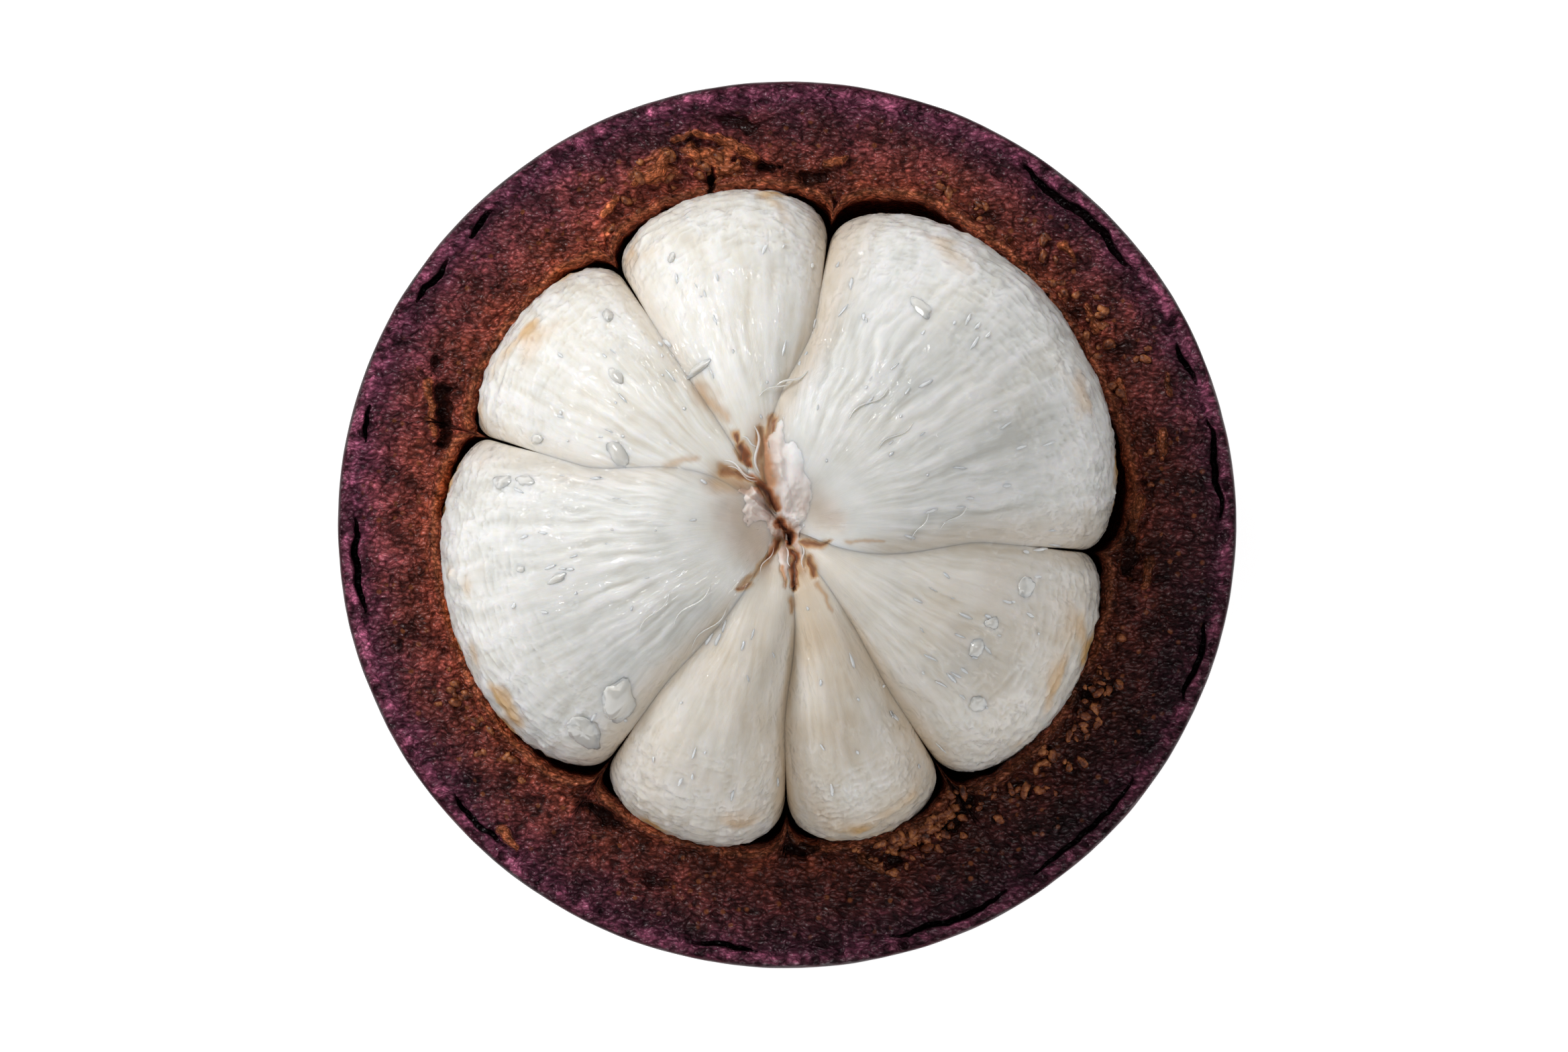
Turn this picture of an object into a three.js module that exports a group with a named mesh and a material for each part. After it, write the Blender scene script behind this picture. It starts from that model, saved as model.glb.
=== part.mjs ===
// Half a mangosteen, opened by a cut round its middle: the lower half of the rind stands on the woody
// rosette of its blossom end, and the whole cluster of seven white segments stays seated in it.
// Millimetres, +Z up. The origin is on the surface that the half rests on, below the middle of the fruit.
// Angles are in degrees, counter-clockwise from +X, seen from above.
import * as THREE from "three";
import { ParametricGeometry } from "three/addons/geometries/ParametricGeometry.js";

// The fruit and its rind
const FRUIT_WIDTH = 62; // across X, at the cut
const FRUIT_DEPTH = 61.2; // across Y, at the cut
const CUT_HEIGHT = 27.5; // the cut face above the surface
const RIND_BOTTOM = 1.5; // the rind's lowest point, which the rosette holds clear of the surface
const SIDE_SQUARENESS = 2.15; // 2 is an ellipse, more is fuller at the shoulder
const SKIN_EDGE = 0.45; // rounding of the skin at the cut
const SKIN_CRACK_INSET = 1.35; // where the skin comes away from the flesh
const SKIN_CRACK_WIDTH = 0.7;
const GRAIN_HEIGHT = 0.28; // relief of the rough cut face
const GRAIN_PITCH = 1.6;
const LIP_RISE = 0.3; // the firm lining stands a little proud round the cavity

// The cluster of segments
const CLUSTER_X = -0.4; // its axis lies slightly off the fruit's own
const CLUSTER_Y = 0;
const CLUSTER_HEIGHT = 26.5; // its widest level
const CLUSTER_SINK = 17.4; // how far it reaches below that level
const DOME_OUT = 2.3; // exponents of the dome's upright outline
const DOME_UP = 2.1;
const DIMPLE = 0.42; // the tops fall away towards the axis by this share
const DIMPLE_REACH = 4.2;
const CLEFT_SLOPE = 0.32; // how much deeper a cleft gets for each millimetre from the axis
const EDGE_ROUNDNESS = 2.3;
const BEND_START = 2.5; // within this radius a cleft has turned by its whole bend
const BEND_END = 14; // and beyond this one it runs straight out
const TIP_RADIUS = 1.8; // the segments' inner edges stop here and leave a channel for the core
const SEAM = 0.3; // free space between neighbours
const LINING_GAP = 0.55; // between the segments and the rind
const RIDGE_CLEARANCE = 1.1; // the lining's ridges stop this far short of the cleft's bottom
const RIDGE_SHARPNESS = 3.4;

// Core and rosette
const CORE_RADIUS = 1.15;
const CORE_SINK = 12; // below the cluster's widest level
const CORE_PIT = 9.6; // the sunken middle of the core's torn top, above that level
const CROWN_REACH = 2.3; // from the axis, between the lobes of the torn crown
const CROWN_LIFT = 0.35; // free space between the torn crown and the segments that it lies on
const CROWN_THICKNESS = 0.55;
const ROSETTE_RADIUS = 7;
const ROSETTE_SEAT_GAP = 0.3;
const ROSETTE_GROOVE = 0.4;

// Fineness of the faceted surfaces
const RIND_AROUND = 132;
const ROSETTE_AROUND = 84;
const CORE_AROUND = 60;

// Where two segments meet: the angle of the cleft, the distance of its outer end from the axis, and how
// far it turns on its way in, because the two widest segments crowd the others at the middle.
const CLEFTS = [
  { angle: 80.5, radius: 19.3, bend: 22 },
  { angle: 122.5, radius: 19.8, bend: -2 },
  { angle: 163.5, radius: 20.7, bend: -22 },
  { angle: 234, radius: 19.4, bend: 8 },
  { angle: 271, radius: 18.5, bend: 10 },
  { angle: 303, radius: 18.7, bend: 5 },
  { angle: 355, radius: 20.6, bend: -17 },
];
CLEFTS.push({ ...CLEFTS[0], angle: CLEFTS[0].angle + 360 });
// Each segment lies between one cleft and the next. The two widest ones hold the seeds.
const SEGMENTS = [
  { name: "segment_top", reach: 23.3, rise: 16.2, across: 8 },
  { name: "segment_upper_left", reach: 23.1, rise: 15.4, across: 8 },
  { name: "segment_left", reach: 23.7, rise: 17.3, across: 12 },
  { name: "segment_lower_left", reach: 22.7, rise: 15.9, across: 8 },
  { name: "segment_lower_right", reach: 22.4, rise: 15.6, across: 8 },
  { name: "segment_right", reach: 23.1, rise: 16.6, across: 10 },
  { name: "segment_upper_right", reach: 24.1, rise: 18.2, across: 14 },
].map((segment, i) => ({ ...segment, first: CLEFTS[i], last: CLEFTS[i + 1] }));

// Tongues of the core's torn crown: direction, angular spread, and reach beyond CROWN_REACH.
const CROWN_LOBES = [
  { angle: 96, spread: 15, reach: 3.6 },
  { angle: 18, spread: 32, reach: 1.3 },
  { angle: 172, spread: 24, reach: 0.9 },
];

// Arcs along which the skin has split from the flesh at the cut: from, to, depth.
const SKIN_CRACKS = [
  [35, 57, 1.6],
  [1, 14, 1.2],
  [180, 192, 1.5],
  [133, 148, 0.8],
  [219, 229, 0.8],
  [257, 266, 0.9],
  [284, 324, 0.9],
  [337, 347, 0.9],
];

const radians = THREE.MathUtils.degToRad;

// 0 in the middle of a stretch and 1 at its ends, rounding off towards them.
function roundOff(across, roundness) {
  return 1 - Math.pow(Math.max(0, 1 - Math.pow(Math.abs(across), roundness)), 1 / roundness);
}

// The quarter outline of the dome: 1 at the axis and 0 at the share 1 of the reach.
function domeFall(share) {
  return Math.pow(Math.max(0, 1 - Math.pow(Math.min(1, share), DOME_OUT)), 1 / DOME_UP);
}

// Smooth noise from -1 to 1 over a plane, the same on each run.
function noise(x, y) {
  const corner = (i, j) => {
    const s = Math.sin(i * 127.1 + j * 311.7) * 43758.5453;
    return 2 * (s - Math.floor(s)) - 1;
  };
  const i = Math.floor(x);
  const j = Math.floor(y);
  const u = THREE.MathUtils.smoothstep(x - i, 0, 1);
  const v = THREE.MathUtils.smoothstep(y - j, 0, 1);
  const near = THREE.MathUtils.lerp(corner(i, j), corner(i + 1, j), u);
  const far = THREE.MathUtils.lerp(corner(i, j + 1), corner(i + 1, j + 1), u);
  return THREE.MathUtils.lerp(near, far, v);
}

// A closed surface from rows of points: place(row, turn) gives the point at turn 0 to 1 round that row,
// and the first and last rows are single points.
function closedSurface(rows, around, place) {
  const last = rows - 1;
  return new ParametricGeometry(
    (u, v, target) => {
      const column = Math.round(u * around) % around;
      place(Math.round(v * last), column / around, target);
    },
    around,
    last,
  );
}

// Direction of a cleft at a distance from the axis.
function cleftAngle(cleft, radius) {
  return cleft.angle + cleft.bend * (1 - THREE.MathUtils.smoothstep(radius, BEND_START, BEND_END));
}

// The segment that holds an angle at a distance from the axis, and the place across it from -1 to 1.
function acrossAt(degrees, radius) {
  const start = cleftAngle(CLEFTS[0], radius);
  const angle = start + THREE.MathUtils.euclideanModulo(degrees - start, 360);
  const segment = SEGMENTS.find((s) => angle <= cleftAngle(s.last, radius));
  const first = cleftAngle(segment.first, radius);
  const half = (cleftAngle(segment.last, radius) - first) / 2;
  return { segment, across: (angle - first) / half - 1 };
}

// How far a segment reaches from the axis, at a place across it.
function reachAt(segment, across) {
  const cleft = across < 0 ? segment.first : segment.last;
  return segment.reach - (segment.reach - cleft.radius) * roundOff(across, EDGE_ROUNDNESS);
}

// Height of a segment's upper surface above the cluster's widest level.
function topAt(segment, across, radius) {
  const dimple = 1 - DIMPLE * Math.exp(-radius / DIMPLE_REACH);
  const drop = CLEFT_SLOPE * radius * roundOff(across, EDGE_ROUNDNESS);
  return (segment.rise * dimple - drop) * domeFall(radius / reachAt(segment, across));
}

// Depth of its lower surface below that level.
function undersideAt(segment, across, radius) {
  const drop = CLEFT_SLOPE * 0.6 * radius * roundOff(across, EDGE_ROUNDNESS);
  const dimple = 1 - 0.5 * DIMPLE * Math.exp(-radius / DIMPLE_REACH);
  return (CLUSTER_SINK * dimple - drop) * domeFall(radius / reachAt(segment, across));
}

// The upright D-shaped outline of a segment at a place across it, as [radius, height] pairs:
// over the top from the tip to the back, under it to the tip again, and up the inner edge.
function outlineAt(segment, across) {
  const TOP = 13;
  const UNDER = 9;
  const INNER = 3;
  const reach = reachAt(segment, across);
  const radiusAt = (share) => TIP_RADIUS + ((reach - TIP_RADIUS) * (1 - Math.cos(Math.PI * share))) / 2;
  const outline = [];
  for (let i = 0; i < TOP; i++) {
    const radius = radiusAt(i / TOP);
    outline.push([radius, topAt(segment, across, radius)]);
  }
  for (let i = UNDER; i >= 0; i--) {
    const radius = radiusAt(i / UNDER);
    outline.push([radius, -undersideAt(segment, across, radius)]);
  }
  const low = outline[outline.length - 1][1];
  const high = outline[0][1];
  for (let i = 1; i < INNER; i++) outline.push([TIP_RADIUS, THREE.MathUtils.lerp(low, high, i / INNER)]);
  return outline;
}

// A point of the cluster, half a seam short of the upright surfaces on which neighbours meet.
function clusterPoint(segment, across, radius, height, target) {
  const first = cleftAngle(segment.first, radius);
  const last = cleftAngle(segment.last, radius);
  const angle = radians(THREE.MathUtils.lerp(first, last, (across + 1) / 2));
  const shift = (-across * SEAM) / 2;
  target.set(
    CLUSTER_X + radius * Math.cos(angle) - shift * Math.sin(angle),
    CLUSTER_Y + radius * Math.sin(angle) + shift * Math.cos(angle),
    CLUSTER_HEIGHT + height,
  );
}

// One segment: its outlines, lofted from cleft to cleft, with each side closed in rings to its middle.
function segmentGeometry(segment) {
  const SIDE_MIDDLE = [8.5, -0.5];
  const SIDE_RINGS = 3;
  const rows = [];
  for (let i = 0; i <= segment.across; i++) {
    const across = Math.sin((Math.PI / 2) * ((2 * i) / segment.across - 1));
    rows.push({ across, share: 1, outline: outlineAt(segment, across) });
  }
  for (let ring = SIDE_RINGS - 1; ring >= 0; ring--) {
    rows.unshift({ ...rows[0], share: ring / SIDE_RINGS });
    rows.push({ ...rows[rows.length - 1], share: ring / SIDE_RINGS });
  }
  const around = rows[0].outline.length;
  return closedSurface(rows.length, around, (row, turn, target) => {
    const { across, share, outline } = rows[row];
    const [radius, height] = outline[Math.round(turn * around) % around];
    const [middleRadius, middleHeight] = SIDE_MIDDLE;
    clusterPoint(
      segment,
      across,
      THREE.MathUtils.lerp(middleRadius, radius, share),
      THREE.MathUtils.lerp(middleHeight, height, share),
      target,
    );
  });
}

// Outer radius of the fruit at the cut.
function fruitRadius(angle) {
  const x = Math.cos(angle) / (FRUIT_WIDTH / 2);
  const y = Math.sin(angle) / (FRUIT_DEPTH / 2);
  return 1 / Math.hypot(x, y);
}

// Radius of the cavity at the cluster's widest level, round the cluster's axis, with the ridges of
// the lining that run up into the clefts.
function cavityRadius(degrees) {
  const { segment, across } = acrossAt(degrees, BEND_END);
  const cleft = across < 0 ? segment.first : segment.last;
  const wall = segment.reach + LINING_GAP;
  const ridge = cleft.radius + RIDGE_CLEARANCE;
  return wall - (wall - ridge) * roundOff(across, RIDGE_SHARPNESS);
}

// Depth of the crack between skin and flesh at an angle, tapering to nothing at its ends.
function crackDepth(degrees) {
  let depth = 0;
  for (const [from, to, deepest] of SKIN_CRACKS) {
    const across = (2 * (degrees - from)) / (to - from) - 1;
    if (Math.abs(across) < 1) depth = Math.max(depth, deepest * Math.sqrt(1 - across * across));
  }
  return depth;
}

// Relief of the cut face at a point of the plane: rough grain on gentle swells.
function grain(x, y) {
  const swell = noise(x / (4 * GRAIN_PITCH), y / (4 * GRAIN_PITCH));
  return GRAIN_HEIGHT * (0.6 * noise(x / GRAIN_PITCH, y / GRAIN_PITCH) + 0.7 * swell);
}

// The rind, as rows from the bottom of its outside, over the rim, across the cut face and down the
// cavity to the cavity's lowest point.
function rindGeometry() {
  const OUTSIDE = 12;
  const FACE = 8;
  const CAVITY = 9;
  const LOBE_SWELL = 0.25; // faint swells of the outside, one for each segment
  const rows = [];
  for (let i = 0; i < OUTSIDE; i++) {
    const tilt = ((Math.PI / 2) * i) / OUTSIDE;
    const out = Math.pow(Math.sin(tilt), 2 / SIDE_SQUARENESS);
    const up = Math.pow(Math.cos(tilt), 2 / SIDE_SQUARENESS);
    rows.push((angle) => {
      const swell = LOBE_SWELL * Math.sin(2 * tilt) ** 2 * Math.cos(7 * angle);
      const height = CUT_HEIGHT - (CUT_HEIGHT - RIND_BOTTOM) * up;
      return [out * (fruitRadius(angle) + swell), height];
    });
  }
  rows.push((angle) => [fruitRadius(angle), CUT_HEIGHT - SKIN_EDGE]);
  rows.push((angle) => [fruitRadius(angle) - SKIN_EDGE, CUT_HEIGHT]);
  const crackLip = (inset, depthShare) => (angle, degrees) => {
    const radius = fruitRadius(angle) - inset;
    const relief = grain(radius * Math.cos(angle), radius * Math.sin(angle));
    return [radius, CUT_HEIGHT + 0.5 * relief - depthShare * crackDepth(degrees)];
  };
  rows.push(crackLip(SKIN_CRACK_INSET - SKIN_CRACK_WIDTH / 2, 0));
  rows.push(crackLip(SKIN_CRACK_INSET, 1));
  rows.push(crackLip(SKIN_CRACK_INSET + SKIN_CRACK_WIDTH / 2, 0));
  const lining = (degrees, height, sink) => {
    const share = Math.pow(1 - Math.pow(height / sink, DOME_UP), 1 / DOME_OUT);
    const radius = cavityRadius(degrees) * share;
    return new THREE.Vector2(radius, 0)
      .rotateAround(new THREE.Vector2(0, 0), radians(degrees))
      .add(new THREE.Vector2(CLUSTER_X, CLUSTER_Y));
  };
  const FLESH_START = SKIN_CRACK_INSET + SKIN_CRACK_WIDTH;
  for (let i = 0; i < FACE; i++) {
    const share = (i + 0.6) / (FACE - 0.4);
    rows.push((angle, degrees) => {
      const edge = lining(degrees, 0, 1);
      const outer = new THREE.Vector2(Math.cos(angle), Math.sin(angle)).multiplyScalar(
        fruitRadius(angle) - FLESH_START,
      );
      const place = outer.lerp(edge, share);
      const lip = LIP_RISE * THREE.MathUtils.smoothstep(share, 0.75, 1);
      const height = CUT_HEIGHT + lip + grain(place.x, place.y);
      return [place.x, place.y, height];
    });
  }
  const sink = CLUSTER_SINK + LINING_GAP;
  for (let i = 0; i < CAVITY; i++) {
    const depth = sink * Math.sin(((Math.PI / 2) * i) / CAVITY);
    rows.push((angle, degrees) => {
      const place = lining(degrees, depth, sink);
      return [place.x, place.y, CLUSTER_HEIGHT - depth];
    });
  }
  rows.push(() => [CLUSTER_X, CLUSTER_Y, CLUSTER_HEIGHT - sink]);
  return closedSurface(rows.length, RIND_AROUND, (row, turn, target) => {
    const degrees = 360 * turn;
    const angle = radians(degrees);
    const made = rows[row](angle, degrees);
    if (made.length === 3) target.set(...made);
    else target.set(made[0] * Math.cos(angle), made[0] * Math.sin(angle), made[1]);
  });
}

// Height of the rind's underside at a distance from the fruit's axis.
function rindUnderside(radius) {
  const share = Math.pow((2 * radius) / FRUIT_WIDTH, SIDE_SQUARENESS);
  return CUT_HEIGHT - (CUT_HEIGHT - RIND_BOTTOM) * Math.pow(1 - share, 1 / SIDE_SQUARENESS);
}

// The dried stigma on the blossom end: one blunt lobe for each segment, flat below, with a groove
// between each lobe and the next.
function rosetteGeometry() {
  const lobes = SEGMENTS.length;
  const NOTCH = 0.3; // share of the radius that the outline loses between lobes
  const GROOVE_START = 0.34;
  const lobeShape = (turn) => Math.pow(Math.abs(Math.cos(Math.PI * lobes * turn)), 0.55);
  const rows = [
    [0, 0],
    [GROOVE_START, 0],
    [0.62, 0],
    [0.93, 0],
    [1, 0.35],
    [0.98, 1],
    [0.6, 1],
    [0, 1],
  ];
  return closedSurface(rows.length, ROSETTE_AROUND, (row, turn, target) => {
    const [share, rise] = rows[row];
    const angle = 2 * Math.PI * turn;
    const lobe = lobeShape(turn);
    const radius = share * ROSETTE_RADIUS * (1 - NOTCH * (1 - lobe));
    const top = rindUnderside(radius) - ROSETTE_SEAT_GAP;
    const inGroove = share > GROOVE_START && rise === 0 ? ROSETTE_GROOVE * Math.pow(1 - lobe, 1.5) : 0;
    target.set(radius * Math.cos(angle), radius * Math.sin(angle), Math.max(top * rise, inGroove));
  });
}

// How far the core's torn crown spreads from the axis.
function crownReach(turn) {
  let reach = CROWN_REACH;
  for (const lobe of CROWN_LOBES) {
    const apart = THREE.MathUtils.euclideanModulo(360 * turn - lobe.angle + 180, 360) - 180;
    reach += lobe.reach * Math.exp(-((apart / lobe.spread) ** 2));
  }
  return reach;
}

// The axis that the segments grew on: a slender column whose torn top spreads over their tips.
function coreGeometry() {
  const surface = (radius, turn) => {
    const { segment, across } = acrossAt(360 * turn, radius);
    const lifted = Math.max(topAt(segment, across * 0.6, radius), topAt(segment, across, radius));
    return lifted + CROWN_LIFT;
  };
  const column = (radius, height) => () => [radius, height];
  const crown = (share, lift) => (turn) => {
    const radius = THREE.MathUtils.lerp(TIP_RADIUS, crownReach(turn), share);
    return [radius, surface(radius, turn) + lift];
  };
  const rows = [
    column(0, -CORE_SINK),
    column(0.7 * CORE_RADIUS, -CORE_SINK + 0.4),
    column(CORE_RADIUS, -CORE_SINK + 2),
    column(CORE_RADIUS, -2),
    column(CORE_RADIUS, CORE_PIT - 1),
    (turn) => [CORE_RADIUS, surface(TIP_RADIUS, turn)],
    crown(0.15, 0),
    crown(0.6, 0),
    crown(1, 0.1),
    crown(0.95, CROWN_THICKNESS),
    crown(0.4, CROWN_THICKNESS * 1.3),
    (turn) => [0.75 * CORE_RADIUS, surface(TIP_RADIUS, turn) + 0.3],
    column(0.5 * CORE_RADIUS, CORE_PIT),
    column(0, CORE_PIT - 0.3),
  ];
  return closedSurface(rows.length, CORE_AROUND, (row, turn, target) => {
    const [radius, height] = rows[row](turn);
    const angle = 2 * Math.PI * turn;
    const x = CLUSTER_X + radius * Math.cos(angle);
    const y = CLUSTER_Y + radius * Math.sin(angle);
    target.set(x, y, CLUSTER_HEIGHT + height);
  });
}

function material(colour, roughness) {
  return new THREE.MeshStandardMaterial({ color: colour, roughness, metalness: 0 });
}

const rindMaterial = material("#4a2322", 0.55);
const segmentMaterial = material("#efece4", 0.3);
const coreMaterial = material("#b98069", 0.6);
const rosetteMaterial = material("#3a2a22", 0.85);

function piece(name, geometry, look) {
  const mesh = new THREE.Mesh(geometry, look);
  mesh.name = name;
  return mesh;
}

const mangosteen = new THREE.Group();
mangosteen.add(piece("rind", rindGeometry(), rindMaterial));
mangosteen.add(piece("stigma_rosette", rosetteGeometry(), rosetteMaterial));
mangosteen.add(piece("core", coreGeometry(), coreMaterial));
for (const segment of SEGMENTS) {
  mangosteen.add(piece(segment.name, segmentGeometry(segment), segmentMaterial));
}

export default mangosteen;
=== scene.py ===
# %% [markdown]
# # Half a mangosteen
#
# A mangosteen is a fruit the size of a small mandarin. Its rind is nearly a centimetre thick and turns
# purple when it is ripe. Inside lie four to eight soft white segments, the arils, grown round a thin core.
# Here the fruit was cut round its middle and the upper cup of the rind taken off, so that the whole cluster
# of seven segments shows, seated in the lower cup.
#
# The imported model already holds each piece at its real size, with plain faces. This lesson replaces every
# piece by one with the relief and the finish of the real thing. All sizes are in millimetres, in the
# model's own frame: +Z up out of the cut, the origin on the surface under the middle of the fruit.

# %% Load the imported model
import math
import random
from functools import partial

import bpy
import numpy as np
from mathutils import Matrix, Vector
from mathutils.bvhtree import BVHTree


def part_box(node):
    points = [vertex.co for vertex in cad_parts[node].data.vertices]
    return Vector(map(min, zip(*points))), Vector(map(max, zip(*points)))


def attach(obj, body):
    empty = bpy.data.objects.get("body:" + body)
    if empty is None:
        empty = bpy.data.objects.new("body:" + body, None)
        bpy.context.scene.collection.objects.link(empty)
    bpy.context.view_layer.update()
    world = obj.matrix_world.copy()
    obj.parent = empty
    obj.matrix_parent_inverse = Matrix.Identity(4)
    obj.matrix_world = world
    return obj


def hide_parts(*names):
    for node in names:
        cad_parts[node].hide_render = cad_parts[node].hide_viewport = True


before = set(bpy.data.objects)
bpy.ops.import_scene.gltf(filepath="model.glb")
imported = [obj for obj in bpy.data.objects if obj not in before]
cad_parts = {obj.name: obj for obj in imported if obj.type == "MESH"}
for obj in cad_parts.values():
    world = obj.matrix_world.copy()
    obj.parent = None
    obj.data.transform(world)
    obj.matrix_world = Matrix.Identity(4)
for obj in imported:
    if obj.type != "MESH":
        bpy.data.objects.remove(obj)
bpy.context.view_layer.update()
MM = 0.001  # Blender's unit is the metre
print("nodes to dress:", ", ".join(sorted(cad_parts)))

# %% [markdown]
# ## The sizes that drive everything
#
# A cut fruit is easy to describe from above: an outline that is nearly a circle, an axis that the segments
# meet on, and for each boundary between two segments the direction in which its cleft runs. The clefts
# bend near the middle, because the two wide segments, which hold the seeds, crowd out the others. The
# width and the depth are read from the model, and the rest are the values that the model was built from.

# %% Sizes of the fruit
rind_low, rind_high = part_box("rind")
FRUIT_WIDTH = (rind_high.x - rind_low.x) / MM
FRUIT_DEPTH = (rind_high.y - rind_low.y) / MM
RIND_BOTTOM = rind_low.z / MM
CUT_HEIGHT = 27.5
SIDE_SQUARENESS = 2.15  # 2 would be an ellipse, and more is fuller at the shoulder
AXIS_X, AXIS_Y = -0.4, 0.0
CLUSTER_HEIGHT = 26.5  # the level at which the cluster is widest
CLUSTER_SINK = 17.4  # and how far it reaches below that
print(f"fruit {FRUIT_WIDTH:.1f} x {FRUIT_DEPTH:.1f} mm, cut {CUT_HEIGHT} mm above the surface")

# %% The clefts and the segments between them
# Each cleft: its direction in degrees from +X, the distance of its outer end, its bend on the way in, and
# how deep it is, as a share of the deepest that it could be.
CLEFTS = [
    (80.5, 19.3, 22, 0.5),
    (122.5, 19.8, -2, 0.3),
    (163.5, 20.7, -22, 0.22),
    (234, 19.4, 8, 0.5),
    (271, 18.5, 10, 0.75),
    (303, 18.7, 5, 0.65),
    (355, 20.6, -17, 0.4),
    (440.5, 19.3, 22, 0.5),
]
# Each segment lies between one cleft and the next: how far it reaches from the axis, how high it rises, how
# strong the ripples are that its seed or its crowding gave it, how milky its flesh is, and how strongly a
# painted shade tints it beige, which is most on the lower right, away from the key lamp.
SEGMENTS = {
    "top": (23.3, 16.2, 0.1, 1.0, 0.0),
    "upper_left": (23.1, 15.4, 0.15, 1.0, 0.0),
    "left": (23.7, 17.3, 0.8, 0.15, 0.0),
    "lower_left": (22.7, 15.9, 0.25, 0.7, 0.27),
    "lower_right": (22.4, 15.6, 0.3, 0.75, 0.48),
    "right": (23.1, 16.6, 0.5, 0.6, 0.25),
    "upper_right": (24.1, 18.2, 1.0, 0.1, 0.0),
}
# Two neighbours meet at one height, halfway between the height of the one and of the other.
RISES = [rise for _, rise, *_ in SEGMENTS.values()]
CLEFT_RISES = [(RISES[i - 1] + RISES[i % len(RISES)]) / 2 for i in range(len(CLEFTS))]
CLEFT_REACHES = [reach for _, reach, *_ in CLEFTS]
CLEFT_DEPTHS = [depth for *_, depth in CLEFTS]
print(len(SEGMENTS), "segments between", len(CLEFTS) - 1, "clefts")

# %% [markdown]
# ## Camera, floor and light
#
# The photograph looks straight down, so the camera hangs over the fruit and its distance sets only how
# strong the perspective is. The light in the photograph is soft and comes from the upper left: one broad
# lamp there, two weak wide ones on the other sides, and a pale sky for the shadows. A brighter sky would
# be mirrored in the dark wet rind and turn it grey.

# %% Camera
PHOTO_WIDTH, PHOTO_HEIGHT = 2337, 1568
FRUIT_PIXEL_X, FRUIT_PIXEL_Y = 1173, 782  # the middle of the fruit in the photograph
FRUIT_PIXELS = 1343  # its width there
CAMERA_HEIGHT = 450  # above the cut
SENSOR_WIDTH = 36
mm_per_pixel = FRUIT_WIDTH / FRUIT_PIXELS
camera_x = (PHOTO_WIDTH / 2 - FRUIT_PIXEL_X) * mm_per_pixel
camera_y = (FRUIT_PIXEL_Y - PHOTO_HEIGHT / 2) * mm_per_pixel
camera_z = CUT_HEIGHT + CAMERA_HEIGHT
bpy.ops.object.camera_add(location=(camera_x * MM, camera_y * MM, camera_z * MM), rotation=(0, 0, 0))
camera = bpy.context.object
camera.data.sensor_width = SENSOR_WIDTH
camera.data.lens = SENSOR_WIDTH * CAMERA_HEIGHT / (PHOTO_WIDTH * mm_per_pixel)
camera.data.clip_start = 10 * MM
bpy.context.scene.camera = camera
print(f"{camera.data.lens:.0f} mm lens, {1 / mm_per_pixel:.2f} pixels a millimetre at the cut")

# %% Lights
def add_lamp(name, place, size, watts):
    """An area lamp at a place in millimetres, turned towards the fruit."""
    bpy.ops.object.light_add(type="AREA", location=Vector(place) * MM)
    lamp = bpy.context.object
    lamp.name = name
    lamp.data.size = size * MM
    lamp.data.energy = watts
    aim = Vector((0, 0, CUT_HEIGHT)) - Vector(place)
    lamp.rotation_euler = aim.to_track_quat("-Z", "Y").to_euler()
    return lamp


key_lamp = add_lamp("key_lamp", (-270, 260, 300), 240, 1.5)
right_lamp = add_lamp("right_fill_lamp", (330, -120, 360), 260, 0.42)
left_lamp = add_lamp("left_fill_lamp", (-160, -330, 360), 260, 0.36)
world = bpy.data.worlds.new("pale_studio")
bpy.context.scene.world = world
world.use_nodes = True
world.node_tree.nodes["Background"].inputs["Color"].default_value = (1, 1, 1, 1)
world.node_tree.nodes["Background"].inputs["Strength"].default_value = 0.24
bpy.context.scene.view_settings.view_transform = "Standard"
print("lamps in W:", [round(lamp.data.energy, 2) for lamp in (key_lamp, right_lamp, left_lamp)])

# %% [markdown]
# ## Colours and nodes
#
# Colours are written as the hex codes that a colour picker shows. Blender's nodes count in linear light,
# so one function converts them. A second one adds any node and fills it in: plain values go to its inputs
# in order, and named ones to the input or the property of that name. A value that is itself a node, or one
# of its outputs, is linked. That keeps each material readable as a list.

# %% Helpers for materials
def linear(code):
    """A hex colour code as linear red, green, blue and alpha."""
    parts = [int(code[i : i + 2], 16) / 255 for i in (1, 3, 5)]
    return [*(p / 12.92 if p <= 0.04045 else ((p + 0.055) / 1.055) ** 2.4 for p in parts), 1]


def add_node(tree, kind, *values, **named):
    """Adds a node. Its properties come first, because they decide which of its inputs are in use."""
    node = tree.nodes.new("ShaderNode" + kind)
    pairs = []
    for name, value in named.items():
        if name == "stops":
            ramp = node.color_ramp
            while len(ramp.elements) < len(value):
                ramp.elements.new(1)
            for stop, (position, colour) in zip(ramp.elements, value):
                stop.position = position
                stop.color = linear(colour)
        elif name.replace("_", " ") in node.inputs:
            pairs.append((node.inputs[name.replace("_", " ")], value))
        else:
            setattr(node, name, value)
    pairs += zip([socket for socket in node.inputs if socket.enabled], values)
    for socket, value in pairs:
        if isinstance(value, bpy.types.Node):
            value = next(output for output in value.outputs if output.enabled)
        if isinstance(value, bpy.types.NodeSocket):
            tree.links.new(value, socket)
        else:
            socket.default_value = value
    return node


def new_material(name):
    """An empty material, and the function that adds nodes to it."""
    material = bpy.data.materials.new(name)
    material.use_nodes = True
    material.node_tree.nodes.clear()
    return material, partial(add_node, material.node_tree)


def read_marks(add, *names):
    """The outputs that hold the marks of a piece's points."""
    return [add("Attribute", attribute_name=name).outputs["Fac"] for name in names]


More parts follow.
